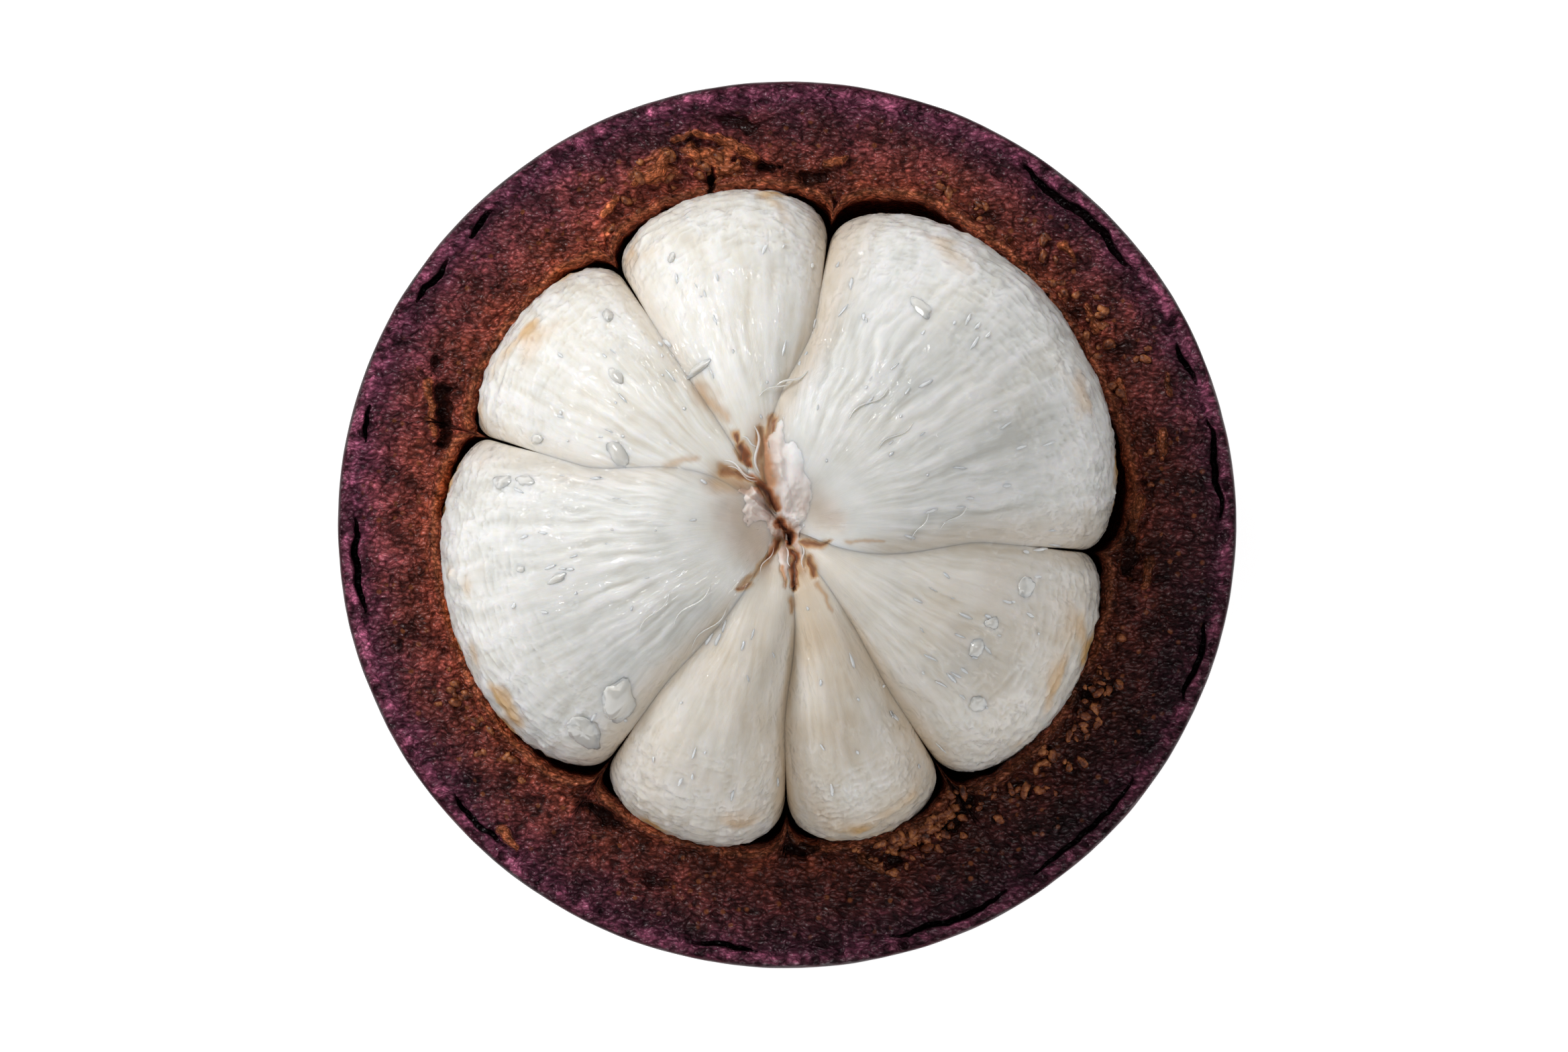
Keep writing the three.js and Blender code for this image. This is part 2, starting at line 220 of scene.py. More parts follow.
# %% Floor
# White paper on a light table: it glows a little, so that it stays white where the fruit shades it.
FLOOR_WIDTH = 4  # metres
floor_paper, add = new_material("matt_white_paper")
floor_shader = add(
    "BsdfPrincipled", Base_Color=linear("#c4c4c4"), Roughness=0.9, Emission_Color=linear("#ffffff"),
    Emission_Strength=0.8,
)
add("OutputMaterial", floor_shader)
bpy.ops.object.select_all(action="DESELECT")
bpy.ops.mesh.primitive_plane_add(size=FLOOR_WIDTH)
floor = bpy.context.object
floor.name = "floor"
floor.data.materials.append(floor_paper)
print("floor", floor.dimensions.x, "m wide")

# %% [markdown]
# ## From a sphere to a grown form
#
# Nothing in a fruit is flat or straight, and no operator gives a lobed, dimpled pillow. But every piece of
# it is a closed skin without holes, which is what a sphere is too. So each form starts as a UV sphere with
# as many rings and meridians as its detail needs, and code moves the points onto a grid of places: one row
# for each ring, from the sphere's lowest point to its highest. The two poles become the two ends of the
# form, and the mesh stays closed with its faces outwards.

# %% Helpers for forms
def select_only(*pieces):
    """Selects these pieces alone and makes the first one active."""
    bpy.ops.object.select_all(action="DESELECT")
    for piece in pieces:
        piece.select_set(True)
    bpy.context.view_layer.objects.active = pieces[0]


def read_vectors(piece, what):
    """The points' places or normals, one row each."""
    flat = np.empty(3 * len(piece.data.vertices), np.float32)
    piece.data.vertices.foreach_get(what, flat)
    return flat.reshape(-1, 3).astype(float)


def write_points(piece, points):
    """Moves the points to places in millimetres."""
    piece.data.vertices.foreach_set("co", (points * MM).astype(np.float32).ravel())
    piece.data.update()


def form_from_grid(name, grid):
    """Adds a UV sphere and moves its rings onto the rows of a grid of places in millimetres."""
    rows, around = grid.shape[:2]
    bpy.ops.object.select_all(action="DESELECT")
    bpy.ops.mesh.primitive_uv_sphere_add(segments=around, ring_count=rows - 1, radius=1)
    piece = bpy.context.object
    piece.name = piece.data.name = name
    x, y, z = read_vectors(piece, "co").T
    ring = np.rint((np.arcsin(z.clip(-1, 1)) / math.pi + 0.5) * (rows - 1)).astype(int)
    meridian = np.rint(np.arctan2(y, x) / (2 * math.pi) * around).astype(int) % around
    order = ring * around + meridian
    write_points(piece, grid.reshape(-1, 3)[order])
    bpy.ops.object.shade_smooth()
    print(f"{name}: {len(piece.data.vertices)} points, {2 * around * (rows - 2)} triangles")
    return piece, order


def mark(piece, name, values):
    """Keeps one number for each point, for the material to read."""
    piece.data.attributes.new(name, "FLOAT", "POINT").data.foreach_set("value", values.astype(np.float32))


def push_out(piece, relief):
    """Moves each point along its normal by its relief in millimetres."""
    write_points(piece, read_vectors(piece, "co") / MM + read_vectors(piece, "normal") * relief[:, None])


def hand_over(piece, slot, *nodes):
    """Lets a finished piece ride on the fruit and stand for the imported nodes."""
    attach(piece, "root")
    if nodes:
        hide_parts(*nodes)


# %% [markdown]
# Relief needs noise. Two kinds are enough here: clouds, which swell and sink smoothly, and grains, round
# bumps with narrow chinks between them. Both start from a lattice of corners. Each corner has three numbers
# that are mixed from its own whole coordinates, so they look random and are the same on each run.

# %% Helpers for relief
def lattice_numbers(corners, seed):
    """Three numbers from -1 to 1 for each corner."""
    x, y, z = corners.astype(np.int64).T
    mixed = x * 73856093 ^ y * 19349663 ^ z * 83492791 ^ seed * 912931
    numbers = []
    for _ in range(3):
        mixed = ((mixed ^ (mixed >> 13)) & 0x7FFFFFFF) * 1274126177
        numbers.append((mixed >> 9 & 0xFFFF) / 32767.5 - 1)
    return np.column_stack(numbers)


def clouds(places, size, octaves=1, seed=0):
    """Smooth noise, about -1 to 1, with lumps of that size. Places holds one row for each point."""
    spots = np.asarray(places) / size + 0.37
    total, strength = 0, 2.6
    for octave in range(octaves):
        base = np.floor(spots)
        inside = spots - base
        blend = inside**3 * (inside * (inside * 6 - 15) + 10)
        for corner in np.ndindex(2, 2, 2):
            slopes = lattice_numbers(base + corner, seed + 31 * octave)
            weight = np.prod(np.where(corner, blend, 1 - blend), axis=1)
            total = total + strength * weight * np.sum(slopes * (inside - corner), axis=1)
        spots = 2 * spots + 5.3
        strength /= 2
    return total


def grains(places, size, seed=0):
    """Round bumps of that size: 1 at the middle of each and 0 in the chinks between them."""
    spots = np.asarray(places) / size
    base = np.floor(spots)
    nearest = np.full(len(spots), 9.0)
    second = nearest
    for step in np.ndindex(3, 3, 3):
        corner = base + step - 1
        distance = np.linalg.norm(spots - corner - 0.5 - 0.5 * lattice_numbers(corner, seed), axis=1)
        second = np.minimum(second, np.maximum(nearest, distance))
        nearest = np.minimum(nearest, distance)
    return np.sqrt(1 - nearest / second)


def smoothstep(value, low, high):
    """0 below low, 1 above high, and a smooth rise between."""
    share = np.clip((value - low) / (high - low), 0, 1)
    return share * share * (3 - 2 * share)


def round_off(across, roundness):
    """0 in the middle of a stretch and 1 at its ends, rounding off towards them."""
    return 1 - (1 - np.abs(across) ** roundness).clip(0) ** (1 / roundness)


def turned(x, y, degrees):
    """Places turned round the origin, against the clock."""
    cosine, sine = math.cos(math.radians(degrees)), math.sin(math.radians(degrees))
    return x * cosine - y * sine, x * sine + y * cosine


def from_patch(x, y, centre_x, centre_y, length, width, turn):
    """How far a place is from an oval patch: 0 at the patch's middle and 1 on its outline."""
    along, aside = turned(x - centre_x, y - centre_y, -turn)
    return np.hypot(along / (length / 2), aside / (width / 2))


def bulges(degrees, entries):
    """The sum of soft bulges, each with its direction, angular spread and height."""
    total = np.zeros_like(degrees)
    for direction, spread, height in entries:
        apart = (degrees - direction + 180) % 360 - 180
        total += height * np.exp(-((apart / spread) ** 2))
    return total


def stroke_share(x, y, stroke, spread=1):
    """1 on the middle line of a stroke (x, y, x, y, width) and 0 from its edge outwards. It tapers."""
    start_x, start_y, end_x, end_y, width = stroke
    run_x, run_y = end_x - start_x, end_y - start_y
    along = ((x - start_x) * run_x + (y - start_y) * run_y) / (run_x**2 + run_y**2)
    along = np.clip(along, 0, 1)
    distance = np.hypot(x - start_x - run_x * along, y - start_y - run_y * along)
    return 1 - smoothstep(distance / (spread * width * (1 - 0.45 * along**2)), 0, 1)


# %% [markdown]
# ## The middle of the cluster
#
# When the upper half of the rind was pulled off, the top of the core tore. It left dark holes and
# recesses, a ragged ridge of pale pith on the tip of the upper right segment, and rusty stains that run out
# along the clefts. Hardly any of this follows a rule, so it is listed stroke by stroke. Both the segments
# and the core read the lists, which keeps their recesses and stains in step.

# %% Recesses, stains and ridges round the axis
# Each stain: from x, y to x, y in millimetres, width, how rusty it is, and how far the surface sinks.
# Its width is the distance from its middle line at which it has faded out.
STAINS = [
    (-1.2, 2.9, -1.75, 6.4, 0.95, 0.52, 0.5),
    (-1.35, 5.6, -1.0, 7.3, 0.42, 0.6, 0.15),
    (-0.85, 6.9, -0.95, 6.3, 0.3, 0.72, 0),
    (-3.1, 5.2, -2.4, 4.0, 0.55, 0.85, 0.35),
    (-3.6, 6.0, -3.4, 5.6, 0.35, 0.8, 0.1),
    (-4.2, 3.5, -2.0, 2.9, 0.65, 0.62, 0.3),
    (-1.7, 2.6, -0.6, 1.1, 0.65, 0.9, 0.6),
    (-5.9, 9.0, -4.0, 7.0, 0.7, 0.3, 0.05),
    (-8.0, 4.0, -5.9, 4.45, 0.4, 0.26, 0),
    (-0.5, 0.1, -0.2, -0.3, 0.5, 0.95, 0.4),
    (0.1, -0.6, 0.2, -1.4, 0.6, 1.0, 0.7),
    (0.45, -2.0, 0.5, -4.3, 0.45, 0.85, 0.4),
    (1.4, -2.2, 1.75, -3.4, 0.45, 0.7, 0.3),
    (0.3, -5.0, 0.3, -5.9, 0.35, 0.5, 0.15),
    (-0.7, -1.1, -1.3, -2.4, 0.5, 0.75, 0.3),
    (-1.3, -2.4, -3.4, -4.2, 0.4, 0.5, 0.1),
    (-2.6, -3.9, -3.4, -4.2, 0.35, 0.7, 0.05),
    (-0.3, -3.0, -0.1, -4.0, 0.3, 0.5, 0.05),
    (1.0, -1.1, 2.2, -1.4, 0.4, 0.7, 0.25),
    (2.2, -1.4, 2.9, -1.1, 0.3, 0.65, 0.2),
    (3.9, -1.1, 6.4, -1.1, 0.22, 0.3, 0),
    (2.0, -4.0, 3.1, -5.7, 0.22, 0.32, 0),
    # The last five stains are wide and faint: painted shade, a greyish tint round the axis where the tips
    # of the segments slope down.
    (-3.0, 0.6, -1.6, -2.4, 2.4, 0.22, 0.3),
    (0.9, 1.6, 3.2, 0.2, 1.8, 0.2, 0.15),
    (-4.5, 2.9, -2.6, 2.5, 1.2, 0.34, 0.15),
    (0.0, -1.2, 0.9, -2.8, 1.6, 0.34, 0.2),
    (-1.5, 6.0, -1.2, 1.5, 1.5, 0.3, 0.2),
]
# Each ridge of pith: from x, y to x, y, width, and how far it stands up.
PITH_RIDGES = [
    (-0.3, 7.3, -0.55, 5.8, 0.4, 0.2),
    (-0.55, 5.8, -0.6, 4.4, 0.6, 0.4),
    (-0.55, 4.4, -0.15, 2.4, 0.7, 0.6),
    (-0.15, 2.4, 0.1, 1.0, 0.7, 0.65),
    (0.1, 4.6, 0.35, 2.6, 1.3, 0.3),
    (0.35, 2.6, 0.6, 0.6, 1.5, 0.36),
    (0.9, 1.6, 2.2, 0.8, 1.0, 0.14),
    (0.1, 1.0, 0.5, 0.1, 0.7, 0.5),
    (-2.3, 1.9, -1.8, 1.2, 0.7, 0.7),
    (-2.3, 1.1, -1.4, 0.5, 0.7, 0.35),
    (0.95, -1.6, 1.1, -3.2, 0.4, 0.2),
    (-0.3, -1.9, -0.1, -3.6, 0.45, 0.2),
    (0.0, -1.15, 0.1, -1.25, 0.25, 0.5),
]


def warped(x, y):
    """The same places, shifted a little by noise, so that no stroke comes out straight or smooth."""
    places = np.column_stack([np.ravel(x), np.ravel(y), np.zeros(np.size(x))])
    shift_x, shift_y = (0.13 * clouds(places, 1.0, 3, seed).reshape(np.shape(x)) for seed in (111, 112))
    return x + shift_x, y + shift_y


def strongest(x, y, strokes, spread=1, power=1):
    """The strongest of the strokes at a place. Each stroke ends with its strength."""
    x, y = warped(x, y)
    most = np.zeros_like(x)
    for *stroke, strength in strokes:
        most = np.maximum(most, strength * stroke_share(x, y, stroke, spread) ** power)
    return most


def rust_and_shade_at(x, y):
    """How rusty a place near the axis is, from 0 to 1, with the painted shade of the wide, faint stains."""
    return strongest(x, y, [stain[:6] for stain in STAINS], 1.7, 1.6)


def recess_at(x, y):
    """How far the surface sinks at a place near the axis."""
    return strongest(x, y, [(*stain[:5], stain[6]) for stain in STAINS])


def ridge_at(x, y):
    """How far the torn pith stands up at a place near the axis."""
    return strongest(x, y, PITH_RIDGES)


print(len(STAINS), "stains and", len(PITH_RIDGES), "ridges of pith")

# %% [markdown]
# ## The segments
#
# A segment is a soft pillow. Seen from above it is a slice of the circle with a rounded outer end, and an
# upright cut along its middle is shaped like a D with the straight side at the axis. Cuts nearer to the
# clefts are the same shape, smaller. So its surface is lofted from such outlines, from cleft to cleft, and
# each side is closed in rings to its middle.

# %% Shape of the cluster
DOME_OUT, DOME_UP = 2.3, 2.1  # exponents of the dome's upright outline
DIMPLE, DIMPLE_REACH = 0.3, 3.6  # how much the tops fall away at the axis, and how far from it
CLEFT_SLOPE = 0.26  # how much deeper the deepest cleft gets for each millimetre from the axis
CLEFT_START, CLEFT_FULL = 2, 9  # the clefts grow to their full depth between these distances
EDGE_ROUNDNESS = 2.3
BEND_START, BEND_END = 2.5, 14
TIP_RADIUS = 0.5
SEAM, SEAM_AT_RIM = -0.03, 0.2  # free space between neighbours: they touch, but for their outer ends


def cleft_angle(cleft, radius):
    """Direction of a cleft at a distance from the axis."""
    return cleft[0] + cleft[2] * (1 - smoothstep(radius, BEND_START, BEND_END))


def dome_fall(share):
    """The dome's height: 1 at the axis and 0 at the share 1 of its reach."""
    return (1 - share.clip(0, 1) ** DOME_OUT) ** (1 / DOME_UP)


def at_cleft(values, number, across):
    """The value of the cleft on this side of a segment's middle."""
    return np.where(across < 0, values[number], values[number + 1])


def reach_at(number, across):
    """How far a segment reaches from the axis, from its first cleft at -1 to its last at 1."""
    reach = list(SEGMENTS.values())[number][0]
    outer_end = at_cleft(CLEFT_REACHES, number, across)
    return reach - (reach - outer_end) * round_off(across, EDGE_ROUNDNESS)


def top_at(number, across, radius, reach_here):
    """Height of a segment's upper surface over the cluster's widest level."""
    edge = np.abs(across)
    rise = RISES[number] + (at_cleft(CLEFT_RISES, number, across) - RISES[number]) * edge**2
    depth = at_cleft(CLEFT_DEPTHS, number, across)
    fall = 0.3 * edge**3 + 0.7 * np.sin(math.pi / 2 * edge**1.7) ** 2
    drop = CLEFT_SLOPE * depth * radius * smoothstep(radius, CLEFT_START, CLEFT_FULL) * fall
    dimple = 1 - DIMPLE * np.exp(-radius / DIMPLE_REACH)
    outer_end = at_cleft(CLEFT_REACHES, number, across)
    flat_reach = reach_at(number, 0) - (reach_at(number, 0) - outer_end) * edge**2.2
    reach_used = flat_reach + (reach_here - flat_reach) * smoothstep(radius / reach_here, 0.72, 1)
    return (rise * dimple - drop) * dome_fall(radius / reach_used)


def underside_at(across, radius, reach_here):
    """Depth of the lower surface under that level."""
    dimple = 1 - 0.5 * DIMPLE * np.exp(-radius / DIMPLE_REACH)
    drop = 0.6 * CLEFT_SLOPE * radius * round_off(across, EDGE_ROUNDNESS)
    return (CLUSTER_SINK * dimple - drop) * dome_fall(radius / reach_here)


# %% A segment as a grid of places
OVER_TOP, UNDER, INNER_EDGE = 160, 24, 6  # points of an outline
SIDE_RINGS = 5
SIDE_MIDDLE_RADIUS, SIDE_MIDDLE_HEIGHT = 8.5, -0.5
POINT_SPACING = 0.175  # from outline to outline across the back of a segment


def segment_grid(number):
    """Places, and for each place: across, distance from the axis, direction, and 1 on the upper side."""
    first, last = CLEFTS[number], CLEFTS[number + 1]
    width = math.radians(last[0] - first[0]) * reach_at(number, 0)
    outlines = int(width / POINT_SPACING)
    across = np.sin(math.pi / 2 * np.linspace(-1, 1, outlines))[:, None]
    reach_here = reach_at(number, across)

    def radius_at(share):
        return TIP_RADIUS + (reach_here - TIP_RADIUS) * (1 - np.cos(math.pi * share)) / 2

    top_radius = radius_at(np.arange(OVER_TOP) / OVER_TOP)
    under_radius = radius_at(np.arange(UNDER, -1, -1) / UNDER)
    top = top_at(number, across, top_radius, reach_here)
    under = -underside_at(across, under_radius, reach_here)
    up = np.arange(1, INNER_EDGE) / INNER_EDGE
    inner = under[:, -1:] + (top[:, :1] - under[:, -1:]) * up
    radius = np.hstack([top_radius, under_radius, np.full_like(inner, TIP_RADIUS)])
    height = np.hstack([top, under, inner])
    upper = np.hstack([np.ones_like(top), np.zeros_like(under), np.zeros_like(inner)])

    rings = np.arange(SIDE_RINGS) / SIDE_RINGS
    share = np.concatenate([rings, np.ones(outlines), rings[::-1]])[:, None]
    rows = np.concatenate([np.zeros(SIDE_RINGS), np.arange(outlines), np.full(SIDE_RINGS, outlines - 1)])
    rows = rows.astype(int)
    radius = SIDE_MIDDLE_RADIUS + (radius[rows] - SIDE_MIDDLE_RADIUS) * share
    height = SIDE_MIDDLE_HEIGHT + (height[rows] - SIDE_MIDDLE_HEIGHT) * share
    upper = upper[rows] * (share == 1)
    across = across[rows] * np.ones_like(radius)
    first_angle, last_angle = cleft_angle(first, radius), cleft_angle(last, radius)
    angle = first_angle + (last_angle - first_angle) * (across + 1) / 2
    shift = -across * (SEAM + SEAM_AT_RIM * smoothstep(radius, 16, 20)) / 2
    cosine, sine = np.cos(np.radians(angle)), np.sin(np.radians(angle))
    x = AXIS_X + radius * cosine - shift * sine
    y = AXIS_Y + radius * sine + shift * cosine
    height = height - upper * recess_at(x, y)
    return np.dstack([x, y, CLUSTER_HEIGHT + height]), across, radius, angle, upper


# %% [markdown]
# The flesh of a segment is a bundle of juicy fibres that run from the axis over its back, under a thin wet
# skin. On a small segment they show as fine straight lines. On the two wide ones the skin lies in broader
# ripples, which wander. Towards the outer end, where it tore from the rind, the skin is creased like damp
# paper. Each of these is a term of the relief below, with its own size and height. The crests of fibres and
# ripples are milkier than the troughs, so the same function also gives the material how high each place is.

# %% Relief of a segment
FIBRE_ANGLE, FIBRE_LENGTH, FIBRE_HEIGHT = 1.5, 5.0, 0.02  # degrees, then millimetres
RIPPLE_ANGLE, RIPPLE_LENGTH, RIPPLE_HEIGHT = 2.8, 6.0, 0.045
SWELL_SIZE, SWELL_HEIGHT = 5.0, 0.10
LUMP_SIZE, LUMP_HEIGHT = 1.4, 0.016
CREASE_SIZE, CREASE_HEIGHT = 0.95, 0.13
CRINKLE_SIZE, CRINKLE_HEIGHT = 0.9, 0.09
FIBRES_START, FIBRES_FULL = 4, 11  # the fibres grow to their full height between these distances
CREASES_START, CREASES_FULL = 0.6, 0.88  # and the creases between these shares of the reach


def segment_relief(places, across, radius, angle, reach, rippling, seed):
    """Relief in millimetres for the points of one segment, and how milky it makes them."""
    level = np.full_like(angle, 3.7 * seed)
    wander = clouds(places, 4, 2, seed)
    fibre_place = np.column_stack([angle / FIBRE_ANGLE + 0.5 * wander, radius / FIBRE_LENGTH, level])
    ripple_place = np.column_stack([angle / RIPPLE_ANGLE + 0.6 * wander, radius / RIPPLE_LENGTH, level])
    fibres = clouds(fibre_place, 1, 2, seed)
    ripples = clouds(ripple_place, 1, 2, seed + 1)
    lumps = clouds(places, LUMP_SIZE, 3, seed + 4)
    arc = np.radians(angle) * radius
    round_the_rim = np.column_stack([arc / 2.6 + 0.6 * wander, radius, places[:, 2]])
    creases = -((1 - np.abs(clouds(round_the_rim, CREASE_SIZE, 3, seed + 3)).clip(0, 1)) ** 4)
    share = radius / reach
    near_rim = smoothstep(share, CREASES_START, CREASES_FULL)
    off_axis = smoothstep(radius, FIBRES_START, FIBRES_FULL)
    relief = FIBRE_HEIGHT * fibres * off_axis * (1 - 0.6 * near_rim)
    relief += RIPPLE_HEIGHT * (0.12 + rippling) * ripples * off_axis * (1 - 0.6 * near_rim)
    relief += SWELL_HEIGHT * clouds(places, SWELL_SIZE, 1, seed + 2) * off_axis
    relief += LUMP_HEIGHT * lumps * (0.3 + 0.7 * off_axis)
    relief += CREASE_HEIGHT * creases * near_rim
    relief += CRINKLE_HEIGHT * clouds(places, CRINKLE_SIZE, 2, seed + 5) * smoothstep(share, 0.82, 0.97)
    crest = (0.5 * fibres + 0.6 * ripples) * off_axis + 0.3 * lumps + 0.7 * (creases + 0.3) * near_rim
    return relief * (1 - np.abs(across) ** 10), crest


# %% Model the seven segments
# Where the juice stands thickest: x, y, length, width in millimetres and turn in degrees.
WET_PATCHES = [
    (1.8, 10.6, 11, 2.2, 76),
    (-15.6, 1.6, 6.5, 4.6, 8),
    (-11.0, 13.0, 6, 2.6, -52),
    (-6.0, 15.0, 6, 2.6, -70),
    (6.4, 8.6, 8, 3.0, 56),
    (4.2, 5.4, 5, 1.6, 50),
    (-8.6, -4.4, 8, 2.4, 40),
    (-5.4, -7.4, 6, 2.4, 40),
    (1.8, -7.6, 6, 1.8, 86),
    (8.0, -6.5, 6, 2.0, -45),
    (8.6, -2.4, 5, 1.6, 10),
]


def patches_at(x, y, patches):
    """1 in the middle of a patch, falling to 0 at its edge."""
    most = np.zeros_like(x)
    for patch in patches:
        most = np.maximum(most, 1 - smoothstep(from_patch(x, y, *patch), 0.4, 1.2))
    return most


arils = []
for number, (place_name, (reach, rise, rippling, milky, painted_shade_tint)) in enumerate(SEGMENTS.items()):
    grid, across, radius, angle, upper = segment_grid(number)
    aril, order = form_from_grid("aril_" + place_name, grid)
    across, radius, angle, upper = (values.ravel()[order] for values in (across, radius, angle, upper))
    places = grid.reshape(-1, 3)[order]
    relief, crest = segment_relief(places, across, radius, angle, reach, rippling, 10 * number + 3)
    push_out(aril, relief * upper)
    stain = clouds(places, 4.5, 2, 130 + number)
    mark(aril, "direction", angle)
    mark(aril, "distance", radius)
    depth = at_cleft(CLEFT_DEPTHS, number, across)
    # The cleft mark is painted shade: warm beige in the clefts, more in the deeper ones, and over the lower
    # and right-hand segments, which face away from the key lamp.
    cleft_shade = smoothstep(np.abs(across), 0.72, 1) * (0.1 + depth) * smoothstep(radius, 3, 8)
    mark(aril, "cleft", np.maximum(cleft_shade, painted_shade_tint * (1 + 0.4 * stain)))
    mark(aril, "crest", crest)
    mark(aril, "milky", np.full_like(angle, milky) + 0.35 * clouds(places, 5, 2, 77 + number))
    mark(aril, "rust", rust_and_shade_at(places[:, 0], places[:, 1]) * upper)
    mark(aril, "wet", patches_at(places[:, 0], places[:, 1], WET_PATCHES))
    mark(aril, "rim_stain", smoothstep(radius / reach, 0.84, 0.98) * smoothstep(stain, 0.3, 1.1))
    hand_over(aril, "segment_flesh", "segment_" + place_name)
    arils.append(aril)

# %% [markdown]
# ### Aril
#
# Aril is water in thin-walled cells: nearly white, milky rather than clear, and wet. Light enters it and
# comes out a little further on, which is what subsurface scattering gives, and it softens the relief as on
# the real flesh. A film of juice over it, thick in some places and missing in others, gives the sharp
# little highlights. In the clefts, where less light gets in, and over the lower and right-hand segments,
# which face away from the key lamp, a painted shade tints it warm beige. Near the axis it is stained by
# the core and tinted by painted shade, and where it lay against the rind it has yellow stains.

# %% Material of the segments
FINEST_FIBRE_ANGLE = 0.9  # degrees between the finest lines that still show
FILM_ANGLE, FILM_LENGTH = 2.4, 1.3  # degrees and millimetres from fold to fold of the wet film
MOTTLE_SIZE = 1.6  # millimetres, as are the two heights of bumps
FIBRE_BUMP, FILM_BUMP = 0.03, 0.7


def aril_material():
    material, add = new_material("moist_aril")
    direction, distance, cleft, crest, milky, rust, wet, rim_stain = read_marks(
        add, "direction", "distance", "cleft", "crest", "milky", "rust", "wet", "rim_stain"
    )
    where = add("TexCoord").outputs["Object"]
    turn = add("Math", direction, 1 / FINEST_FIBRE_ANGLE, operation="MULTIPLY")
    run = add("Math", distance, 0.5, operation="MULTIPLY")
    fibre_place = add("CombineXYZ", turn, run)
    fibres = add("TexNoise", fibre_place, Scale=1, Detail=4, Roughness=0.65, Distortion=0.4)
    mottle = add("TexNoise", where, Scale=1 / (MOTTLE_SIZE * MM), Detail=5, Roughness=0.6)
    film_turn = add("Math", direction, 1 / FILM_ANGLE, operation="MULTIPLY")
    film_run = add("Math", distance, 1 / FILM_LENGTH, operation="MULTIPLY")
    film_place = add("CombineXYZ", film_turn, film_run)
    film = add("TexNoise", film_place, Scale=1, Detail=1, Distortion=0.9)
    height = add("Math", fibres, 1.2, crest, operation="MULTIPLY_ADD")
    uneven = add("Math", mottle, 1.2, height, operation="MULTIPLY_ADD")
    share = add("MapRange", uneven, 0.0, 2.4)
    creamy = add("ValToRGB", share, stops=[(0.0, "#e1dbcf"), (0.4, "#eae7df"), (0.8, "#f2f0ec")])
    watery = add("ValToRGB", share, stops=[(0.0, "#d2d1cb"), (0.4, "#e0e0dc"), (0.8, "#ecebe9")])
    flesh = add("Mix", milky, watery, creamy, data_type="RGBA")
    # Painted shade: the cleft mark tints the flesh warm beige.
    shaded = add("Mix", cleft, flesh, linear("#cdb697"), data_type="RGBA")
    rim = add("Mix", rim_stain, shaded, linear("#d6ad74"), data_type="RGBA")
    rusty = add(
        "ValToRGB", rust,
        stops=[
            (0.0, "#ffffff"), (0.2, "#ece0d6"), (0.4, "#e9c8a4"), (0.62, "#c3906a"), (0.8, "#8f5f4a"),
            (1.0, "#583528"),
        ],
    )
    colour = add("Mix", 1.0, rim, rusty, data_type="RGBA", blend_type="MULTIPLY")
    fibre_bump = add("Bump", Strength=0.5, Distance=FIBRE_BUMP * MM, Height=uneven)
    film_bump = add("Bump", Strength=1.0, Distance=FILM_BUMP * MM, Height=film, Normal=fibre_bump)
    thick_film = add("Math", wet, 0.2, mottle, operation="MULTIPLY_ADD")
    coat = add("MapRange", thick_film, 0.46, 0.6, 0.2, 1.0)
    shader = add(
        "BsdfPrincipled", Base_Color=colour, Normal=fibre_bump, Roughness=0.4, IOR=1.38,
        Subsurface_Weight=0.8, Subsurface_Radius=(1.0, 0.85, 0.65), Subsurface_Scale=0.8 * MM,
        Coat_Weight=coat, Coat_Roughness=0.1, Coat_IOR=1.5, Coat_Normal=film_bump,
    )
    add("OutputMaterial", shader)
    return material


moist_aril = aril_material()
for aril in arils:
    aril.data.materials.append(moist_aril)
print("aril material with", len(moist_aril.node_tree.nodes), "nodes")

# %% [markdown]
# ## The rind
#
# The rind is one thick cup. From the outside in, the cut shows the purple skin, which is crumbly and comes
# away from the flesh in long cracks, then flesh that darkens to purple outside and stays red-brown inside,
# and last the firm orange-brown lining that stands a little proud round the cavity. Its ridges run up into
# the clefts. The surface is again a grid: up the outside, over the rim, across the cut and down the cavity.
# Most of its rows lie on the cut, because that is where the relief is.

# %% Cavity and cracks
LINING_GAP = 0.07
RIDGE_CLEARANCE = 0.6
RIDGE_SHARPNESS = 3.8
# Where the cluster has shrunk from the lining: direction, angular spread, extra gap.
WIDER_GAPS = [(66, 13, 0.5), (5, 12, 0.4), (300, 20, 0.1), (100, 12, 0.1)]
# Cracks under the skin: from and to in degrees, depth, width.
SKIN_CRACKS = [
    (36, 57, 1.7, 0.75),
    (1, 14, 1.4, 0.55),
    (19, 25, 1.2, 0.5),
    (179, 192, 1.6, 0.6),
    (133, 138, 1.2, 0.55),
    (142, 149, 1.2, 0.55),
    (164, 169, 1.0, 0.4),
    (219, 229, 1.2, 0.5),
    (257, 266, 1.1, 0.45),
    (284, 301, 1.3, 0.5),
    (305, 324, 1.2, 0.45),
    (336, 347, 1.3, 0.5),
]
CRACK_INSET = 1.2  # of the cracks from the outline


def fruit_radius(theta):
    """Outer radius of the fruit at the cut."""
    return 1 / np.hypot(np.cos(theta) / (FRUIT_WIDTH / 2), np.sin(theta) / (FRUIT_DEPTH / 2))


